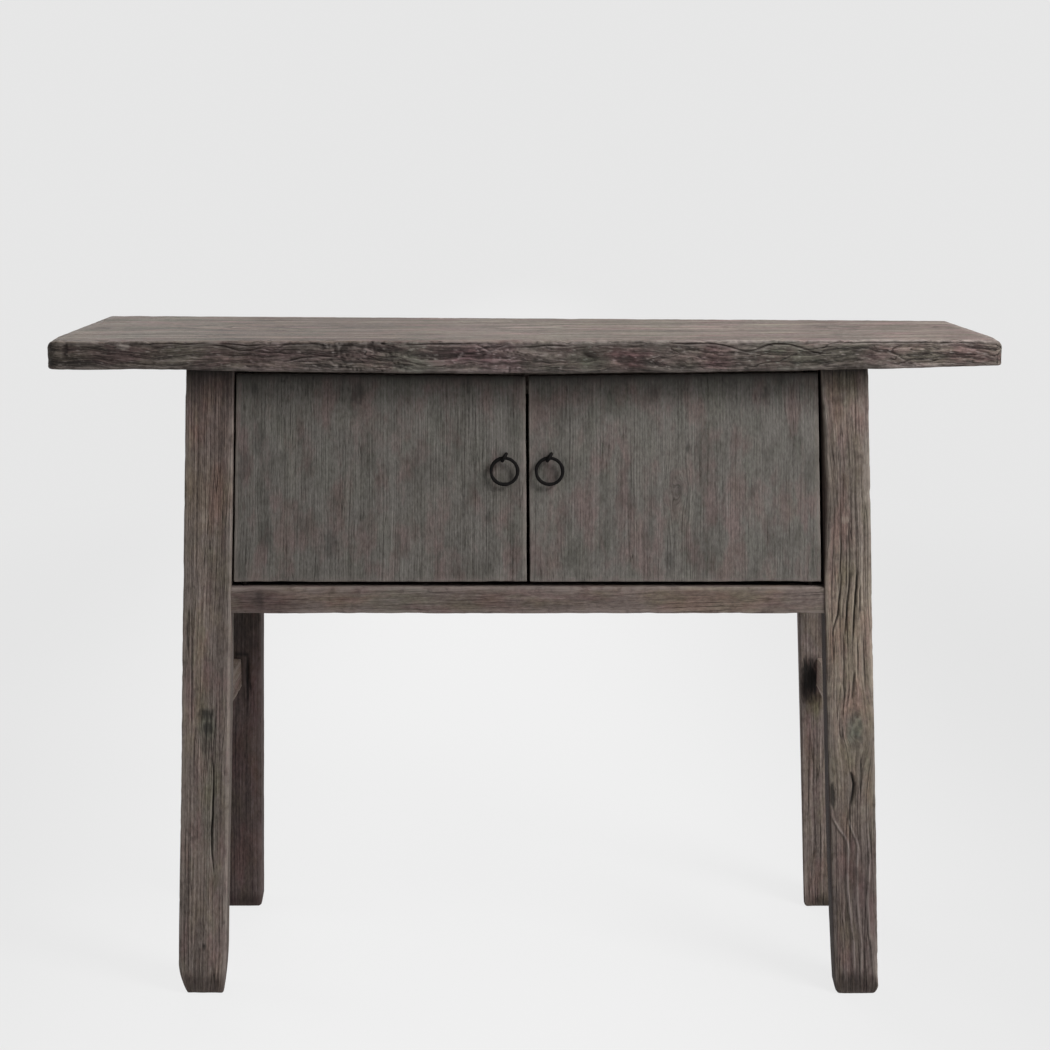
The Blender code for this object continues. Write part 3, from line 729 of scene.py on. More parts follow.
def addTimber(node, cornerAt, timber, material, settle=None):
    corners = np.array([[[cornerAt(x, y, z) for z in (-1, 1)] for y in (-1, 1)] for x in (-1, 1)])
    size = [float(np.linalg.norm(np.diff(corners, axis=i), axis=-1).mean()) for i in range(3)]
    bm = timberBlock(size, timber)
    mesh = bpy.data.meshes.new(node + "_wood")
    bm.to_mesh(mesh)
    bm.free()
    count = len(mesh.vertices)
    points = {}
    for name in ("co", "normal"):
        flat = np.empty(count * 3, np.float32)
        mesh.vertices.foreach_get(name, flat)
        points[name] = flat.reshape(-1, 3).astype(float)
    size = np.array(size) / mm
    moved, grainAt, marks, stain = growTimber(points["co"] / mm, points["normal"], size, timber)

    # from the straight block to the timber's own leaning corners
    share = moved / size + 0.5
    placed = np.zeros_like(moved)
    for pick in np.ndindex(2, 2, 2):
        weight = np.ones(count)
        for axis, high in enumerate(pick):
            weight = weight * (share[:, axis] if high else 1 - share[:, axis])
        placed += weight[:, None] * corners[pick]
    if settle:
        placed = settle(placed)
    mesh.vertices.foreach_set("co", placed.astype(np.float32).ravel())
    for name, kind, key, values in (
        ("grainAt", "FLOAT_VECTOR", "vector", grainAt),
        ("marks", "FLOAT_COLOR", "color", marks),
        ("stain", "FLOAT_COLOR", "color", stain),
    ):
        painted = mesh.attributes.new(name, kind, "POINT")
        painted.data.foreach_set(key, values.astype(np.float32).ravel())
    mesh.update()
    placePiece(node, "_wood", mesh, material)


# Materials
def newMaterial(name):
    material = bpy.data.materials.new(name)
    material.use_nodes = True
    return material, material.node_tree


def finishSurface(tree, look, colour, rough, height):
    shader = tree.nodes["Principled BSDF"]
    links = {"Strength": look["bump"], "Distance": look["bumpDistance"], "Height": height}
    bump = addNode(tree, "ShaderNodeBump", links).outputs[0]
    for socket, value in (("Base Color", colour), ("Roughness", rough), ("Normal", bump)):
        tree.links.new(value, shader.inputs[socket])
    shader.inputs["Specular IOR Level"].default_value = look["gloss"]
    shader.inputs["Metallic"].default_value = look.get("metal", 0.0)


# Elm. The tones are base colours, from dark to pale
elmNoises = {  # detail, roughness, a shift of its own
    "pore": (2.0, 0.6, (5, 2, 9)),
    "broad": (3.0, 0.5, (0, 0, 0)),
    "fine": (3.0, 0.62, (0, 0, 0)),
    "calm": (2.0, 0.5, (4, 6, 2)),
    "grit": (3.0, 0.65, (0, 0, 0)),
    "check": (2.0, 0.5, (1, 4, 2)),
    "place": (2.0, 0.5, (8, 3, 1)),
    "patch": (4.0, 0.6, (0, 3, 0)),
    "dirt": (4.0, 0.65, (0, 0, 0)),
}
patchStep = (7, 0, 5)  # shift from one tint's patches to the next


def elmMaterial(name, look):
    material, tree = newMaterial(name)
    grain = addNode(tree, "ShaderNodeAttribute", attribute_name="grainAt").outputs["Vector"]
    marks = addNode(tree, "ShaderNodeAttribute", attribute_name="marks")
    split = addNode(tree, "ShaderNodeSeparateColor", {0: marks.outputs["Color"]})
    relief, wear, dark = split.outputs[0], split.outputs[1], split.outputs[2]
    rings = marks.outputs["Alpha"]
    painted = addNode(tree, "ShaderNodeAttribute", attribute_name="stain")
    stain, lively = painted.outputs["Color"], painted.outputs["Alpha"]

    def streaks(kind, number=0, vector=grain):
        detail, roughness, shift = elmNoises[kind]
        shift = [start + number * step for start, step in zip(shift, patchStep)]
        return stretchedNoise(tree, vector, look[kind + "Stretch"], detail, roughness, shift)

    # each growth ring: a broken line of open pores, then denser wood in a tone of its own
    within = calc(tree, "FRACT", rings)
    ring = calc(tree, "FLOOR", rings)
    ringTone = addNode(tree, "ShaderNodeTexWhiteNoise", {"W": ring}, noise_dimensions="1D")
    ringTone = calc(tree, "SUBTRACT", ringTone.outputs["Value"], 0.5)
    ringTone = calc(tree, "MULTIPLY", ringTone, calc(tree, "PINGPONG", within, 0.5))
    pores = ramp(tree, within, look["ringProfile"])
    pores = calc(tree, "MULTIPLY", pores, remap(tree, streaks("pore"), look["poreBreaks"]))

    # streaks, grit and thin checks that run with the grain
    broad = streaks("broad")
    calm = remap(tree, streaks("calm"), look["calmPatches"], look["calmRange"])
    calm = calc(tree, "MULTIPLY", calm, lively)
    fine = calc(tree, "SUBTRACT", streaks("fine"), 0.5)
    fine = calc(tree, "MULTIPLY_ADD", fine, calm, 0.5)
    grit = streaks("grit")
    check = calc(tree, "MULTIPLY", streaks("check"), look["checkCount"])
    check = remap(tree, calc(tree, "PINGPONG", check, 0.5), (0.0, look["checkWidth"]), (1.0, 0.0))
    place = remap(tree, streaks("place"), look["checkPlaces"], (0.0, lively))
    check = calc(tree, "MULTIPLY", check, place)
    dirt = streaks("dirt", vector=objectSpot(tree))

    # every share swings the tone about the middle of the ramp
    swings = (broad, look["broadShare"]), (fine, look["fineShare"]), (grit, look["gritShare"])
    middle = 0.5 - sum(share for _, share in swings) / 2
    tone = calc(tree, "MULTIPLY_ADD", ringTone, look["ringShare"], middle)
    for noise, share in (*swings, (pores, -look["poreShare"]), (check, -look["checkShare"])):
        tone = calc(tree, "MULTIPLY_ADD", noise, share, tone)
    colour = ramp(tree, tone, look["tones"])

    # old stains: each tint comes and goes in patches of its own
    for number, (tint, share) in enumerate(look["tints"]):
        patch = remap(tree, streaks("patch", number), look["tintPatches"], (0.0, share))
        colour = blendColour(tree, patch, colour, (*tint, 1), "MULTIPLY")
    colour = blendColour(tree, 1.0, colour, stain, "MULTIPLY")

    # furrows hold dust and painted shade, ridges and arrises are rubbed paler, and crack lips take a
    # painted highlight
    shade = remap(tree, relief, (0.0, 1.0), (look["furrowShade"], 1.0))
    colour = blendColour(tree, 1.0, colour, shade, "MULTIPLY")
    rubbed = (look["leastWear"] * look["wearShare"], look["wearShare"])
    rubbed = calc(tree, "MULTIPLY", wear, remap(tree, dirt, look["wearPatches"], rubbed))
    worn = blendColour(tree, 1.0, stain, (*look["wornColour"], 1), "MULTIPLY")
    colour = blendColour(tree, rubbed, colour, worn)
    grime = remap(tree, dirt, look["grimePatches"], (0.0, look["grimeShare"]))
    colour = blendColour(tree, grime, colour, (*look["grimeColour"], 1))
    colour = blendColour(tree, dark, colour, (*look["markColour"], 1))

    height = 0.0
    for noise, share in zip((fine, grit, pores, check), look["heights"]):
        height = calc(tree, "MULTIPLY_ADD", noise, share, height)
    rough = remap(tree, fine, look["roughStreaks"], look["roughness"])
    finishSurface(tree, look, colour, rough, height)
    return material


def grey(value):
    return (value, value, value)


frameFinish = {
    "tones": [
        (0.20, (0.031, 0.024, 0.021)), (0.40, (0.105, 0.084, 0.074)),
        (0.55, (0.173, 0.142, 0.126)), (0.76, (0.290, 0.250, 0.226)),
    ],
    "ringProfile": [(0.0, grey(0.2)), (0.06, grey(1.0)), (0.22, grey(0.7)), (0.34, grey(0.0))],
    # stretches are into the ring, along the grain and round the ring
    "poreStretch": (260, 11, 260), "broadStretch": (70, 2.2, 70),
    "fineStretch": (430, 5, 430), "gritStretch": (420, 110, 420),
    "calmStretch": (45, 6, 45), "calmRange": (0.55, 1.4),  # how much the fine streaks come and go
    "checkStretch": (66, 1.5, 66), "checkCount": 8.0, "checkWidth": 0.10,
    "placeStretch": (34, 6, 34), "patchStretch": (42, 13, 42), "dirtStretch": (60, 60, 45),
    # between which values of its noise each of these sets in
    "poreBreaks": (0.36, 0.58), "calmPatches": (0.38, 0.62), "checkPlaces": (0.42, 0.58),
    "tintPatches": (0.48, 0.64), "wearPatches": (0.38, 0.56), "grimePatches": (0.42, 0.30),
    "roughStreaks": (0.3, 0.7),
    "broadShare": 0.4, "fineShare": 0.66, "gritShare": 0.55,
    "ringShare": 0.3, "poreShare": 0.15, "checkShare": 0.21,
    "tints": [
        ((1.08, 0.88, 0.93), 0.7), ((0.90, 0.95, 0.80), 0.7), ((0.72, 0.70, 0.68), 0.6),
        ((1.20, 1.14, 1.06), 0.7),
    ],
    "furrowShade": 0.5,
    "wornColour": (0.26, 0.222, 0.198), "wearShare": 0.75, "leastWear": 0.3,
    "grimeColour": (0.045, 0.037, 0.032), "grimeShare": 0.4,
    "markColour": (0.012, 0.011, 0.010),
    "heights": (0.9, 0.6, -0.5, -0.8),  # bump of the fine streaks, grit, pores and checks
    "roughness": (0.72, 0.92), "gloss": 0.25, "bump": 0.9, "bumpDistance": 0.0014,
}
doorFinish = {
    **frameFinish,
    "tones": [
        (0.22, (0.043, 0.039, 0.034)), (0.40, (0.101, 0.093, 0.083)),
        (0.56, (0.147, 0.136, 0.124)), (0.78, (0.224, 0.208, 0.191)),
    ],
    "fineStretch": (600, 3, 600), "gritStretch": (420, 130, 420),
    "checkStretch": (48, 1.1, 48), "checkCount": 11.0, "checkWidth": 0.07,
    "broadShare": 0.22, "fineShare": 0.42, "gritShare": 0.6,
    "ringShare": 0.2, "poreShare": 0.14, "checkShare": 0.16,
    "tints": [
        ((1.16, 0.86, 0.90), 0.6), ((0.86, 0.92, 0.86), 0.4), ((0.56, 0.56, 0.54), 0.6),
        ((1.10, 1.08, 1.04), 0.4),
    ],
    "patchStretch": (34, 15, 34), "calmStretch": (30, 7, 30), "calmRange": (0.3, 1.9),
    "furrowShade": 0.7, "wearShare": 0.4, "grimeShare": 0.2,
    "roughness": (0.70, 0.88), "bump": 0.55, "bumpDistance": 0.0008,
}
topFinish = {
    **frameFinish,
    "tones": [
        (0.22, (0.046, 0.037, 0.031)), (0.40, (0.108, 0.088, 0.073)),
        (0.56, (0.161, 0.133, 0.111)), (0.78, (0.258, 0.217, 0.185)),
    ],
    "fineStretch": (300, 5, 300), "gritStretch": (380, 130, 380),
    "checkStretch": (75, 7, 75), "checkCount": 7.0, "checkWidth": 0.10, "checkShare": 0.36,
    "broadShare": 0.5, "fineShare": 1.1, "gritShare": 0.7, "ringShare": 0.9, "poreShare": 0.3,
    "tints": [
        ((1.10, 0.84, 0.96), 0.7), ((0.90, 1.0, 0.92), 0.7), ((0.66, 0.64, 0.63), 0.7),
        ((1.30, 1.27, 1.22), 0.7),
    ],
    "furrowShade": 0.22, "wornColour": (0.25, 0.215, 0.190), "bumpDistance": 0.0022,
    "markColour": (0.022, 0.016, 0.014),
}
insideFinish = {
    **frameFinish,
    "tones": [
        (0.22, (0.045, 0.034, 0.027)), (0.40, (0.100, 0.079, 0.066)),
        (0.56, (0.150, 0.121, 0.102)), (0.78, (0.225, 0.190, 0.165)),
    ],
    "furrowShade": 0.6, "wearShare": 0.4, "bump": 0.5,
}
railFinish = {
    **frameFinish,
    "broadShare": 0.3, "fineShare": 0.36, "gritShare": 0.5,
    "ringShare": 0.12, "poreShare": 0.08, "checkShare": 0.08,
}
frameElm = elmMaterial("weatheredElmFrame", frameFinish)
railElm = elmMaterial("weatheredElmRails", railFinish)
doorElm = elmMaterial("greyWashedElmDoors", doorFinish)
topElm = elmMaterial("wornElmTop", topFinish)
insideElm = elmMaterial("planedElmInside", insideFinish)


# Top plank. Its front edge is hewn and cracked
topLook = {
    **plainTimber,
    "seed": 3, "axes": (0, 2, 1), "pith": (-160, 30), "pithLean": (0.02, 0.05), "wander": 7,
    "wanderLength": 170, "warps": [(4, 130, 90), (2.2, 45, 20), (1.2, 16, 8)], "ringGap": 4.2,
    "furrow": 1.2, "furrowShape": 2.4, "sideFurrow": 0.25, "endFurrow": 0.5, "hollow": 3.2,
    "edgeGrime": 0.44, "furrowGrime": 0.7, "flecks": 0.9, "quiet": 0.5, "wave": 0.3, "chip": 0.7,
    "chipReach": 5, "chipLength": 30, "rounding": 2.8, "cornerRound": 15, "spacing": (2.5, 0.8, 12),
    "nicks": [(1, 3.6, 4.5, 13), (1, 1.6, 3.5, 6), (-1, 1.2, 4, 50)], "nickGrime": 0.9,
    "toolMarks": [(-205, 65, -0.3, 3.4), (-20, 30, 0.6, 1.2)],
    "cracks": [
        ([(-488, 16.5), (-457, 18.2), (-431, 17), (-405, 18.2)], 1.1, 2.6),
        ([(-402, 15.7), (-385, 14.2), (-366, 8.2), (-350, 8.2), (-336, 12.5),
          (-327, 17.4)], 1.2, 2.6),
        ([(-392, 17.8), (-373, 16.5), (-353, 14.3), (-336, 15.7)], 1.1, 2.6),
        ([(-319, 9.2), (-307, 16.6), (-292, 18.3), (-275, 18.3), (-257, 16.6)], 1.2, 2.6),
        ([(-311, -7.3), (-284, -0.7), (-262, 1), (-239, -0.7)], 1.1, 2.6),
        ([(-165, 14.7), (-139, 16.2), (-113, 16.6), (-87, 17.2), (-67, 17.8)], 0.9, 2.2),
        ([(-67, 17.5), (-55, 12.7), (-47, 8.3), (-32, 14.2), (-20, 17)], 1, 1.6),
        ([(-9, 12.7), (10, 13), (26, 15.6), (45, 14.3), (63, 14.3)], 1, 2),
        ([(176, 18), (194, 16.8), (227, 17.6), (245, 16.5), (262, 11.2), (280, 5.4), (294, 9.7),
          (311, 16.5), (332, 15.6), (349, 11.2), (366, 4.1), (381, 1)], 1.2, 2.6),
        ([(386, 17.6), (476, 17.8), (584, 17.4)], 0.9, 2.2),
        ([(456, 6.6), (470, 0.2), (480, -7.4)], 1.2, 2),
        ([(570, 4.5), (585, 0), (600, -7.5)], 1.6, 1.2),
    ],
    "smudges": [
        (-580.5, 6, 3.5, 12, 1), (81, 2.8, 10, 4, 0.8), (126, -3.6, 11, 7, 0.7),
        (196, -8.7, 6, 5, 0.7), (417, 6.6, 5, 3.5, 0.6), (507, 1.5, 5, 4, 0.7),
        (-509.5, 14.3, 8, 6, -1.6), (560, 16.5, 10, 2.5, -0.7),
        # dents of a chisel, left of the middle
        (-258.7, 13.1, 3, 4.5, 0.9), (-251, 19, 2.6, 4, 0.9), (-246, 15, 2.4, 5, 0.8),
        (-231.2, 13.1, 2.8, 5, 0.8), (-224.7, 16.5, 3.4, 5, 0.9), (-221.5, 0.7, 2.8, 2.6, 0.8),
        (-233.4, -2.1, 4, 3, 0.8), (-237.6, -11.6, 3, 2.4, 0.8), (-212.9, 6.7, 2.8, 2.6, 0.7),
        (-208.6, 12.6, 3, 3.6, 0.7), (-198.3, 15, 3.8, 5.6, 0.9), (-201, -1.6, 2.6, 3, 0.7),
        (-193, 5.4, 2.6, 3.6, 0.7), (-181.5, 18.5, 3, 3, 0.9), (-178, 11.9, 3.2, 4, 0.8),
        (-173.5, 1.9, 2.6, 5, 0.7), (-154.7, -5.2, 4, 3, 0.5), (-188, 18, 3, 3, -0.9),
        (-254.5, 16, 2.6, 5, -0.9), (-238, 14, 3, 5, -0.6), (-205, 10, 3, 4, -0.5),
        (-242, -12.8, 3, 2.4, -0.7),
    ],
    # the dark band along the lower arris at -21.5 and the dark left end at -606 are painted shade;
    # the paler right end at 530 is painted light
    "stains": [
        (0, 0, 750, 200, (1.2, 1.22, 1.27)), (0, -21.5, 750, 5, (0.44, 0.42, 0.42)),
        (-606, 0, 12, 60, (0.4, 0.38, 0.38)), (-330, 0, 60, 30, (1.03, 0.93, 0.98)),
        (-50, 0, 70, 30, (1.02, 0.93, 0.99)), (130, -4, 30, 20, (1.04, 0.88, 0.92)),
        (240, 0, 30, 20, (1.04, 0.86, 0.92)), (-150, 0, 50, 30, (0.9, 1, 0.94)),
        (330, 0, 50, 30, (0.9, 1, 0.94)), (80, 0, 30, 20, (0.88, 1, 0.94)),
        (-70, 0, 160, 40, (1.22, 1.22, 1.23)), (530, 0, 110, 40, (1.42, 1.42, 1.44)),
    ],
    # painted light: the upper face lighter to the right and darker to the left, as the light falls
    # off
    "sideTints": [
        (1, 100, 900, 250, 0.1, (1.21, 1.21, 1.27)), (1, -520, -50, 140, 0.1, (0.75, 0.7, 0.68)),
        (1, -900, 900, 100, 0.1, (1.01, 1, 0.98)),
    ],
    "leftOverrun": (7, -1),  # how far the left end runs past the plan, front and rear
    "overrunFrom": 400,  # how far from the middle the overrun starts
    "leftBelly": 3.5,  # how much thicker the plank is at its left end
    "bellyFrom": 450,
    "rearDrop": (2.4, 4.6),  # how far the rear edge hangs in the middle, and more to the right
    "endRound": (4, 6),  # rounding of the upper end edges, left and right
    "roundFade": 30,  # how far down it dies out
    "cornerDrop": 7,  # more rounding on their front corners
    "cornerShare": 0.18,  # share of the depth that takes
}


def topCorner(x, y, z):
    high = tableShape["height"]
    return (x * tableShape["length"] / 2, y * tableShape["depth"] / 2, high if z > 0 else headHeight)


def settlePlank(points):
    high, halfLength = tableShape["height"], tableShape["length"] / 2
    x, y = points[:, 0].copy(), points[:, 1].copy()
    fromTop = (high - points[:, 2]) * (high - underside(x)) / (high - headHeight)
    toRear = 0.5 + y / tableShape["depth"]
    atFront = 1 - ease(toRear, 0.0, topLook["cornerShare"])
    for side, reach in zip((-1, 1), topLook["endRound"]):
        reach = (reach + topLook["cornerDrop"] * atFront) * mm
        into = np.clip(side * x - (halfLength - reach), 0, reach)
        rounded = reach - np.sqrt(reach * reach - into * into)
        fromTop = fromTop + rounded * np.clip(1 - fromTop / (topLook["roundFade"] * mm), 0, 1)
    lower = np.clip(fromTop / tableShape["endThickness"], 0, 1)
    thicker = ease(-x, topLook["bellyFrom"] * mm, halfLength) * lower
    fromTop = fromTop + topLook["leftBelly"] * mm * thicker
    middle, more = topLook["rearDrop"]
    points[:, 2] = high - fromTop - toRear * (middle + more * x / halfLength) * mm
    front, rear = topLook["leftOverrun"]
    longer = ease(-x, topLook["overrunFrom"] * mm, halfLength)
    points[:, 0] = x - (front + (rear - front) * toRear) * mm * longer
    return points


addTimber("top_board", topCorner, topLook, topElm, settlePlank)
print("top plank made")


# Legs
legLook = {
    **plainTimber,
    "furrowShape": 1.8, "ringGap": 4, "rounding": 2.8, "spacing": (4.5, 0.9, 1.4),
    "pithLean": (0.004, 0.01), "wander": 3, "wave": 0.7, "headGrime": [(0.85, 20), (0.6, 7)],
    "intoTop": 2,
}
legs = {
    "leg_front_left": {
        "seed": 11, "pith": (120, 60),
        "smudges": [
            (-37.7, 1.2, 7, 9, 0.8), (-57, 3.5, 11, 6, 0.75), (-81, 2.7, 12, 8, 0.4),
            (-354, 1.9, 5, 3, 0.85), (-352, -2.5, 6, 3, -0.6), (222, -5.8, 6, 4, -0.9),
        ],
        "stains": [
            (-60, 2, 45, 14, (0.8, 0.9, 0.82)), (255, 0, 50, 50, (1.04, 1, 0.9)),
            (360, 0, 70, 50, (1, 0.93, 0.93)), (-200, 0, 300, 60, (1.12, 1.12, 1.12)),
            # the stain at 410 darkens the head: painted shade under the top plank
            (410, 0, 75, 60, (0.74, 0.74, 0.76)), (-412, 0, 22, 60, (0.48, 0.46, 0.46)),
            (-170, 8, 90, 12, (0.9, 0.96, 0.92)),
        ],
        "cracks": [
            ([(-258, 13.3), (-226, 10.7), (-210, 9.7), (-178, 10.4), (-146, 11.1), (-107, 11),
              (-99.5, 8.2)], 1, 6),
            ([(-70, -17.3), (20, -17.8), (110, -18.8)], 0.7, 1.5),
        ],
        "nicks": [(-1, 1.2, 4, 30), (1, 1.2, 3, 30)],
        "taper": [(1, -3, 1.5, -1.5, 0), (-1, -1.5, -1.5, 0, 0)],
        "wornEnds": [(-1, -1, 42, 13), (-1, 1, 60, 4)],
    },
    "leg_front_right": {
        "seed": 23, "pith": (-100, 90), "ringGap": 5.2, "wander": 5, "wanderLength": 200,
        "tint": (1.07, 1.08, 1.04), "spacing": (2.7, 0.9, 1.6), "furrow": 0.45,
        "knots": [(-56, 5.5, 11, 0.15, 0.35)],
        "cracks": [
            ([(66, -22.2), (79, -19), (94.4, -14), (109.5, -13.1), (126.2, -10.4), (140, -9.1),
              (152, -8.6)], 1.2, 4),
            ([(66, -5.2), (79, -4.3), (91.8, -2.8), (109.5, -1.9), (124.9, 0.8), (138.7, 1.7),
              (154, 2.2)], 1.1, 4),
            ([(58, 5), (73.2, 5.7), (89.1, 6.6), (109.5, 8.1), (127.6, 9.6), (143.7, 11.1),
              (158, 11.8)], 1.1, 4),
            ([(90, -8.5), (108, -7), (128, -4.5)], 0.7, 2),
            ([(88, 12.8), (110, 14.2), (135, 15.8)], 0.8, 2),
            ([(-9.6, 19.7), (28.2, 18.9), (70.6, 18.2)], 1, 1.7),
            ([(-16.9, -6.6), (3, -8.4), (34.8, -7.2), (53.3, -7), (73.2, -8)], 1.1, 1.9),
            ([(-18.2, 2.5), (-3.4, 4), (18.2, 6.2)], 1.7, 4),
            ([(145, -11.6), (180, -9.1), (215, -9.6)], 0.8, 1.8),
            ([(142, 0.4), (170, 1.9), (210, 1.4)], 0.8, 1.8),
            ([(8.3, 10), (30.8, 11.2), (61.3, 10.8)], 0.9, 2),
            ([(-163, -2.5), (-147, 0.8), (-132, 2.9), (-115.7, -0.7)], 2.1, 6),
            ([(-150, 10.5), (-120, 12), (-95, 11.8)], 1, 2),
            ([(-399, 1.1), (-347.5, -0.1), (-308, -4.5), (-269, -7.8), (-222, -5.6), (-207, -6.6),
              (-196, -16.6), (-176.5, -27.8), (-150, -44)], 1.7, -2.2),
            ([(-399, 9.2), (-348, 9.9), (-300.7, 5.3), (-249, 5.1), (-214.3, 7.3), (-206, 3.7),
              (-179, -5.5)], 1.4, -1.8),
            ([(-348, 20.9), (-292.6, 17.9), (-230, 21.7), (-198, 19.1)], 1.4, -1.6),
        ],
        "smudges": [
            (219.7, -3.5, 6, 4, -0.9), (-150, -26.5, 16, 5, 0.8), (-38, 9, 6, 4, 0.45),
            (-50, 3, 5, 3, 0.4), (-52, 12, 6, 3, 0.5), (-63, 6.5, 7, 3.5, 0.5),
            (-70, 12.5, 6, 3, 0.45), (-76, 4.5, 5, 2.5, 0.35), (-45, 12, 4, 2, -0.5),
            (-57, 2.5, 5, 2, -0.5), (-66, 10.5, 4, 2, -0.45), (-44, 6.5, 3, 2, -0.4),
        ],
        "stains": [
            (60, 0, 130, 60, (1.26, 1.24, 1.16)), (-54, 6, 30, 13, (0.74, 0.88, 0.87)),
            (-300, 0, 160, 60, (0.7, 0.665, 0.71)), (-410, 0, 22, 60, (0.42, 0.4, 0.4)),
            (360, 0, 80, 60, (0.95, 0.95, 0.98)),
        ],
        "nicks": [(1, 1.6, 4, 25), (-1, 1.6, 4, 40)],
        "waney": [(-1, 130, 390, 6.2, 13), (-1, -450, -100, 2, 12)],
        # painted shade on the inner face, over the upper part and close behind the front arris lower
        # down
        "sideTints": [
            (-1, 100, 500, 30, 10, (0.26, 0.22, 0.22)), (-1, -500, 130, 30, 3, (0.19, 0.14, 0.14)),
        ],
        "taper": [(-1, 0, 2, 0, 0), (1, -2, -2, 0, 0)],
        "wornEnds": [(-1, 1, 12, 6), (-1, -1, 6, 2), (-1, -1, 300, 5)],
    },
    "leg_back_left": {
        # darker whole leg: painted shade, as it lies in the cabinet's shadow
        "seed": 31, "pith": (-90, -60), "tint": (0.71, 0.64, 0.68),
        # painted shadow round the left stretcher's end: a band above it and a line to its right
        "smudges": [(-30, 5, 1.6, 9, 0.9)],
        "cracks": [([(-82, 12.8), (-55, 12.8), (-30, 12.8)], 1.8, 2)],
        # the stain at 50 darkens the upper part: painted shade under the cabinet
        "stains": [
            (50, 0, 100, 80, (0.48, 0.5, 0.48)), (-415, 0, 18, 60, (0.55, 0.52, 0.52)),
        ],
        "taper": [(1, -8, -4.6, 0, 0)], "wornEnds": [(-1, 1, 8, 3)],
    },
    "leg_back_right": {
        # lighter whole leg: painted light, as this leg is lit from the right
        "seed": 43, "pith": (90, -70), "tint": (1.19, 1.17, 1.18),
        # painted shade on the inner face
        "sideTints": [(-1, -500, 500, 30, 0.1, (0.45, 0.41, 0.41))],
        # painted shadow of the right stretcher on the front face: these two dark blots and the dark
        # stain at -68 below
        "smudges": [(-66, -16, 29, 13, 0.95), (-80, -20, 24, 10, 0.7)],
        "stains": [
            (-105, -8, 24, 14, (1, 1.05, 0.84)), (-68, -19, 42, 18, (0.42, 0.38, 0.37)),
            (20, 0, 50, 50, (0.66, 0.66, 0.67)), (-415, 0, 18, 60, (0.5, 0.5, 0.46)),
        ],
        "taper": [(-1, 3, 9, -4.5, -4.5)], "wornEnds": [(-1, -1, 8, 3)],
    },
}
sides = {"left": -1, "right": 1}
faces = {"front": -1, "back": 1}


def legCorner(side, face):
    width, depth = tableShape["legSection"]
    head = underside(tableShape["headSpread"][0] - width / 2) + legLook["intoTop"] * mm

    def at(x, y, z):
        height = head if z > 0 else 0.0
        centreX = side * (outer(0, height) - width / 2)
        centreY = face * (outer(1, height) - depth / 2)
        return (centreX + x * width / 2, centreY + y * depth / 2, height)

    return at


for legName, own in legs.items():
    _, faceName, sideName = legName.split("_")
    addTimber(legName, legCorner(sides[sideName], faces[faceName]), {**legLook, **own}, frameElm)
print("legs made")


# Rails, stretchers and panels between the legs
def betweenLegs(node, axis, side, recess, thickness, reach, leaning=False):
    low, high = heightRange(node)

    def at(*signs):
        z = high if signs[2] > 0 else low
        point = [0.0, 0.0, z]
        point[axis] = signs[axis] * (inner(axis, z) + reach * mm)
        face = side * (outer(1 - axis, z if leaning else (low + high) / 2) - recess * mm)
        back = face - side * thickness * mm
        point[1 - axis] = max(face, back) if signs[1 - axis] > 0 else min(face, back)
        return tuple(point)

    return at


railLook = {
    **plainTimber,
    "furrow": 0.5, "chip": 1, "rounding": 2, "spacing": (5, 1.6, 2), "ringGap": 4, "pith": (50, 60),
    "reach": 6,  # how far the ends run into the legs
    "firstSeed": 50,
}
rails = {  # axis, side, recess from the legs' outer faces, thickness
    "front_lower_rail": (0, -1, 4, 24),
    "back_lower_rail": (0, 1, 6, 24),
    "left_lower_rail": (1, -1, 6, 24),
    "right_lower_rail": (1, 1, 6, 24),
    "front_upper_rail": (0, -1, 35, 18),
    "back_upper_rail": (0, 1, 6, 24),
    "left_upper_rail": (1, -1, 6, 24),
    "right_upper_rail": (1, 1, 6, 24),
    "left_stretcher": (1, -1, 15, 22),
    "right_stretcher": (1, 1, 15, 22),
}
railMarks = {
    "front_lower_rail": {
        "smudges": [
            (-351, 0, 7, 10, 0.5), (-310, 12, 16, 2.5, -0.6), (-240, 12, 12, 2.5, -0.6),
            (-130, 12, 14, 2.5, -0.7), (50, 12, 22, 2.5, -0.7), (130, 12, 12, 2.5, -0.7),
        ],
        "nicks": [(1, 1.4, 4, 30), (-1, 0.8, 3, 30)], "tint": (0.97, 0.94, 0.95),
        "stains": [
            (-345, -4, 50, 30, (0.66, 0.6, 0.62)), (-170, 0, 60, 30, (0.96, 1.02, 1)),
            (250, 0, 90, 30, (1.04, 1.06, 0.94)),
        ],
    },
    # painted light: the stretchers made paler, standing in for light on their tops and inner faces
    "left_stretcher": {"tint": (1.9, 1.85, 1.8)},
    "right_stretcher": {
        "tint": (1.3, 1.27, 1.25), "stains": [(0, 0, 500, 100, (1.6, 1.56, 1.52))],
    },
}
panelLook = {
    **plainTimber,
    "furrow": 0.3, "chip": 0.4, "rounding": 1, "spacing": (8, 4, 4), "pith": (30, 100),
    "ringGap": 5.2,
    "recess": 12, "thickness": 12, "reach": 8, "firstSeed": 130,
}
panels = {"back_panel": (0, 1), "left_side_panel": (1, -1), "right_side_panel": (1, 1)}
seedStep = 7

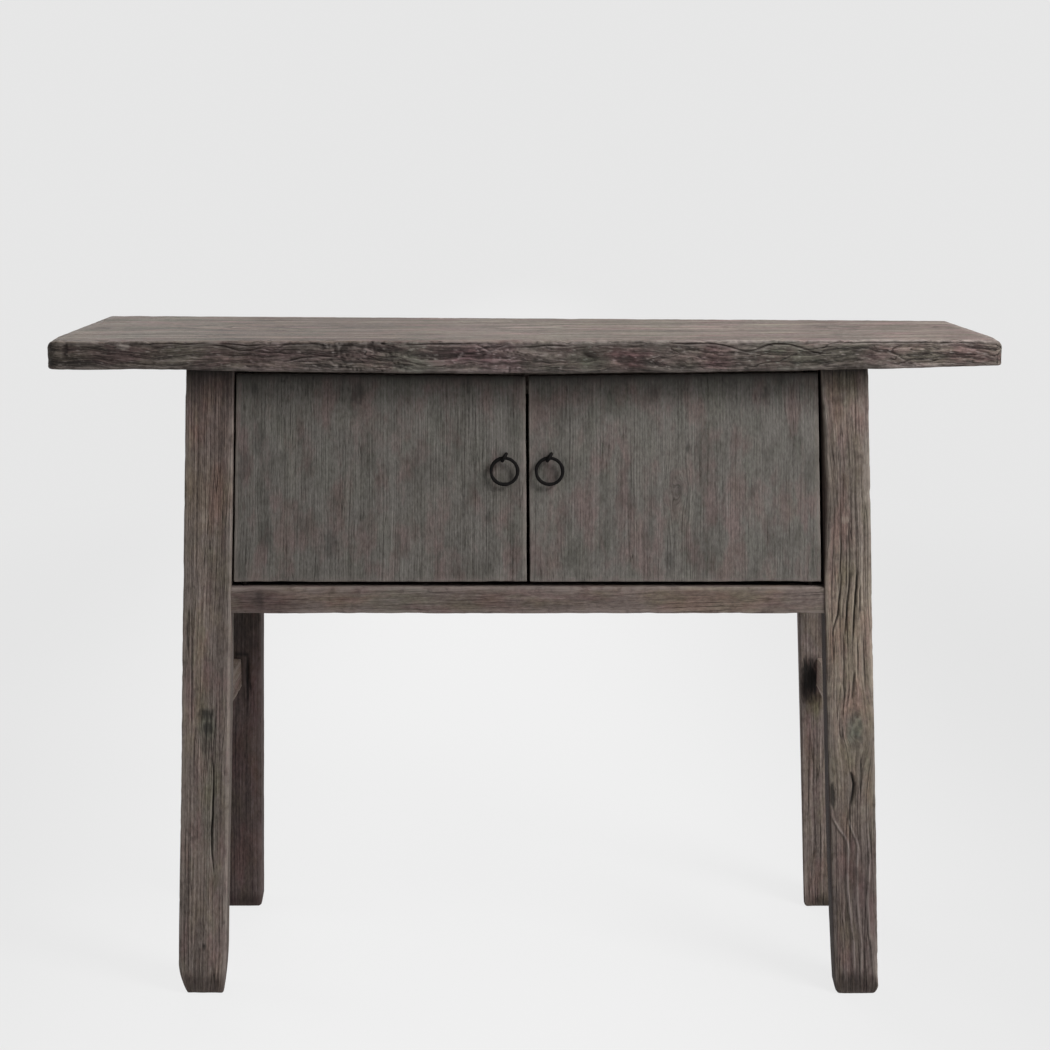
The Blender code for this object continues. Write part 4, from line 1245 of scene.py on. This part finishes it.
for number, (railName, (axis, side, recess, thickness)) in enumerate(rails.items()):
    shape = betweenLegs(railName, axis, side, recess, thickness, railLook["reach"])
    own = {"seed": railLook["firstSeed"] + seedStep * number, "axes": (axis, 2, 1 - axis)}
    addTimber(railName, shape, {**railLook, **own, **railMarks.get(railName, {})}, railElm)
for number, (panelName, (axis, side)) in enumerate(panels.items()):
    fit = (panelLook[key] for key in ("recess", "thickness", "reach"))
    shape = betweenLegs(panelName, axis, side, *fit, leaning=True)
    own = {"seed": panelLook["firstSeed"] + seedStep * number, "axes": (axis, 2, 1 - axis)}
    addTimber(panelName, shape, {**panelLook, **own}, insideElm)


def boxCorner(node):
    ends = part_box(node)

    def at(*signs):
        return tuple(ends[sign > 0][axis] for axis, sign in enumerate(signs))

    return at


floorLook = {
    **panelLook,
    "seed": 171, "axes": (0, 1, 2), "pith": (40, -110),
}
stopLook = {
    **railLook,
    "seed": 181, "axes": (0, 2, 1), "spacing": (4, 2, 2), "rounding": 1.2,
}
addTimber("cabinet_floor", boxCorner("cabinet_floor"), floorLook, insideElm)
addTimber("door_stop", boxCorner("door_stop"), stopLook, frameElm)
print("rails, panels and floor made")


# Doors and their battens
doorLook = {
    **plainTimber,
    "furrow": 0.16, "fibre": 0.08, "chip": 0.8, "wave": 0.3, "rounding": 1.2,
    "spacing": (4.5, 2.2, 4.5), "pithLean": (0.01, 0.02), "ringGap": 3.6, "wander": 3,
    "headGrime": [(0.6, 16), (0.75, 5)],
    "hingeRise": 4.2,  # the upper edge rises to the hinge with the plank's belly
    "meetingGap": 3.7,
    "meetingShift": (1.7, 0.2),  # how far to the right the doors meet, below and above
}
doors = {
    "left_door": {
        "seed": 201, "pith": (-260, 50),
        "smudges": [
            (115, -165, 8, 6, 0.45), (113, -30, 14, 8, 0.5), (50, -160, 22, 8, 0.35),
            (15, -178, 20, 10, 0.3), (-75, -150, 20, 10, 0.35), (-85, -65, 18, 8, 0.4),
            (28, -128, 8, 6, 0.3), (-50, 140, 8, 4, 0.4),
        ],
    },
    "right_door": {
        "seed": 217, "pith": (280, 60), "knots": [(-16, 5, 6, 0.4, 1.3)],
        "smudges": [
            (40, 18, 5, 3, 0.6), (-14, 6, 8, 3, 0.6), (-108, -8, 12, 6, 0.4),
            (-20, 100, 10, 4, 0.4), (110, 120, 12, 6, 0.4), (112, -25, 10, 6, 0.4),
        ],
    },
}
battenLook = {
    **plainTimber,
    "axes": (0, 2, 1), "furrow": 0.3, "chip": 0.8, "rounding": 1.5, "spacing": (6, 2, 3),
    "proud": 9,  # how far it stands out from the back of the door
    "let": 5,  # how far it is let into it
    "firstSeed": 240, "endStep": 9, "sideStep": 4,
}


def doorFace(z):
    return -(outer(1, z) - tableShape["doorRecess"])


def doorCorner(node, side):
    low, high = heightRange(node)

    def at(x, y, z):
        height = high if z > 0 else low
        hinge = side * (inner(0, height) - tableShape["doorSideGap"])
        meeting = (side * doorLook["meetingGap"] / 2 + doorLook["meetingShift"][z > 0]) * mm
        front = doorFace(height)
        return (
            max(hinge, meeting) if x > 0 else min(hinge, meeting),
            front + tableShape["doorThickness"] if y > 0 else front,
            height + (doorLook["hingeRise"] * mm if z > 0 and x == side else 0.0),
        )

    return at


def battenCorner(node):
    low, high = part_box(node)

    def at(x, y, z):
        height = high.z if z > 0 else low.z
        back = doorFace(height) + tableShape["doorThickness"]
        depth = back + (battenLook["proud"] if y > 0 else -battenLook["let"]) * mm
        return (high.x if x > 0 else low.x, depth, height)

    return at


for doorName, own in doors.items():
    side = sides[doorName.split("_")[0]]
    addTimber(doorName, doorCorner(doorName, side), {**doorLook, **own}, doorElm)
    for number, end in enumerate(("upper", "lower")):
        battenName = f"{doorName}_{end}_batten"
        seed = battenLook["endStep"] * number + battenLook["sideStep"] * side
        own = {"seed": battenLook["firstSeed"] + seed}
        addTimber(battenName, battenCorner(battenName), {**battenLook, **own}, insideElm)
print("doors made")


# Iron rings and eyes, and the turned pins
ironLook = {
    "tones": [
        (0.30, (0.003, 0.003, 0.003)), (0.60, (0.007, 0.006, 0.006)), (0.85, (0.022, 0.016, 0.012)),
    ],
    "scale": (260, 260, 260), "hammer": (120, 120, 120), "scaleHeight": 0.4,
    "roughPatches": (0.35, 0.65), "roughness": (0.60, 0.85), "metal": 0.15, "gloss": 0.1,
    "bump": 0.35, "bumpDistance": 0.0006,
    "ringSteps": 72, "wireSteps": 14, "wireSwell": 0.5,
    "dents": 0.18,  # how much the hand-hammered wire is thick and thin
    "dentWaves": [(1.0, 3, 1.1, 0), (0.6, 7, 0.4, 9)],  # share, count, start, change along X
    "eyeSwell": 1.0,  # how much thicker the forged eye is than its plain wire
    "eyeSmooth": 0.6,
}
# near black: the dark of old hardwood, and painted shade where the pins show in the shaded gap under
# the top
pinLook = {
    "tones": [
        (0.30, (0.004, 0.003, 0.003)), (0.55, (0.008, 0.006, 0.005)), (0.80, (0.016, 0.012, 0.010)),
    ],
    "fibre": (700, 700, 40),
    "roughPatches": (0.35, 0.65), "roughness": (0.7, 0.9), "gloss": 0.1,
    "bump": 0.3, "bumpDistance": 0.0004,
}


def forgedIron(look):
    material, tree = newMaterial("blackForgedIron")
    spot = objectSpot(tree)
    scale = stretchedNoise(tree, spot, look["scale"], 4.0, 0.6)
    dents = stretchedNoise(tree, spot, look["hammer"], 2.0, 0.5)
    height = calc(tree, "MULTIPLY_ADD", scale, look["scaleHeight"], dents)
    rough = remap(tree, scale, look["roughPatches"], look["roughness"])
    finishSurface(tree, look, ramp(tree, scale, look["tones"]), rough, height)
    return material


def turnedHardwood(look):
    material, tree = newMaterial("rubbedHardwoodPins")
    fibre = stretchedNoise(tree, objectSpot(tree), look["fibre"], 4.0, 0.6)
    rough = remap(tree, fibre, look["roughPatches"], look["roughness"])
    finishSurface(tree, look, ramp(tree, fibre, look["tones"]), rough, fibre)
    return material


def placeIron(node, bm):
    bmesh.ops.recalc_face_normals(bm, faces=bm.faces)
    mesh = bpy.data.meshes.new(node + "_iron")
    bm.to_mesh(mesh)
    bm.free()
    placePiece(node, "_iron", mesh, ironMaterial)


def spunRing(node):
    low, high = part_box(node)
    centre = (low + high) / 2
    wire = (high.y - low.y) / 2
    sweep = (high.x - low.x) / 2 - wire
    bm = bmesh.new()
    thick = wire + ironLook["wireSwell"] * mm
    bmesh.ops.create_circle(bm, radius=thick, segments=ironLook["wireSteps"])
    bmesh.ops.translate(bm, vec=(sweep, 0, 0), verts=bm.verts)
    bmesh.ops.spin(
        bm, geom=bm.edges[:], cent=(0, 0, 0), axis=(0, 1, 0), angle=2 * math.pi,
        steps=ironLook["ringSteps"], use_merge=True,
    )
    for vert in bm.verts:
        hub = Vector((vert.co.x, 0, vert.co.z)).normalized() * sweep
        angle = math.atan2(vert.co.z, vert.co.x)
        swell = 0.0
        for share, count, start, change in ironLook["dentWaves"]:
            swell += share * math.sin(count * angle + start + change * centre.x)
        vert.co += (vert.co - hub).normalized() * ironLook["dents"] * mm * swell
    bmesh.ops.translate(bm, vec=centre, verts=bm.verts)
    placeIron(node, bm)


def forgedEye(node):
    bm = bmesh.new()
    bm.from_mesh(cadNodes[node].data)
    bmesh.ops.remove_doubles(bm, verts=bm.verts, dist=1e-6)
    bm.normal_update()
    for vert in bm.verts:
        vert.co += vert.normal * ironLook["eyeSwell"] * mm
    bmesh.ops.subdivide_edges(bm, edges=bm.edges, cuts=1, smooth=ironLook["eyeSmooth"])
    placeIron(node, bm)


ironMaterial = forgedIron(ironLook)
pinMaterial = turnedHardwood(pinLook)
for node, obj in cadNodes.items():
    if node.endswith("ring_pull"):
        spunRing(node)
    elif node.endswith("ring_eye"):
        forgedEye(node)
    elif slotOf[node] == "elm_pins":
        obj.data.materials.clear()
        obj.data.materials.append(pinMaterial)
print("iron and pins finished")
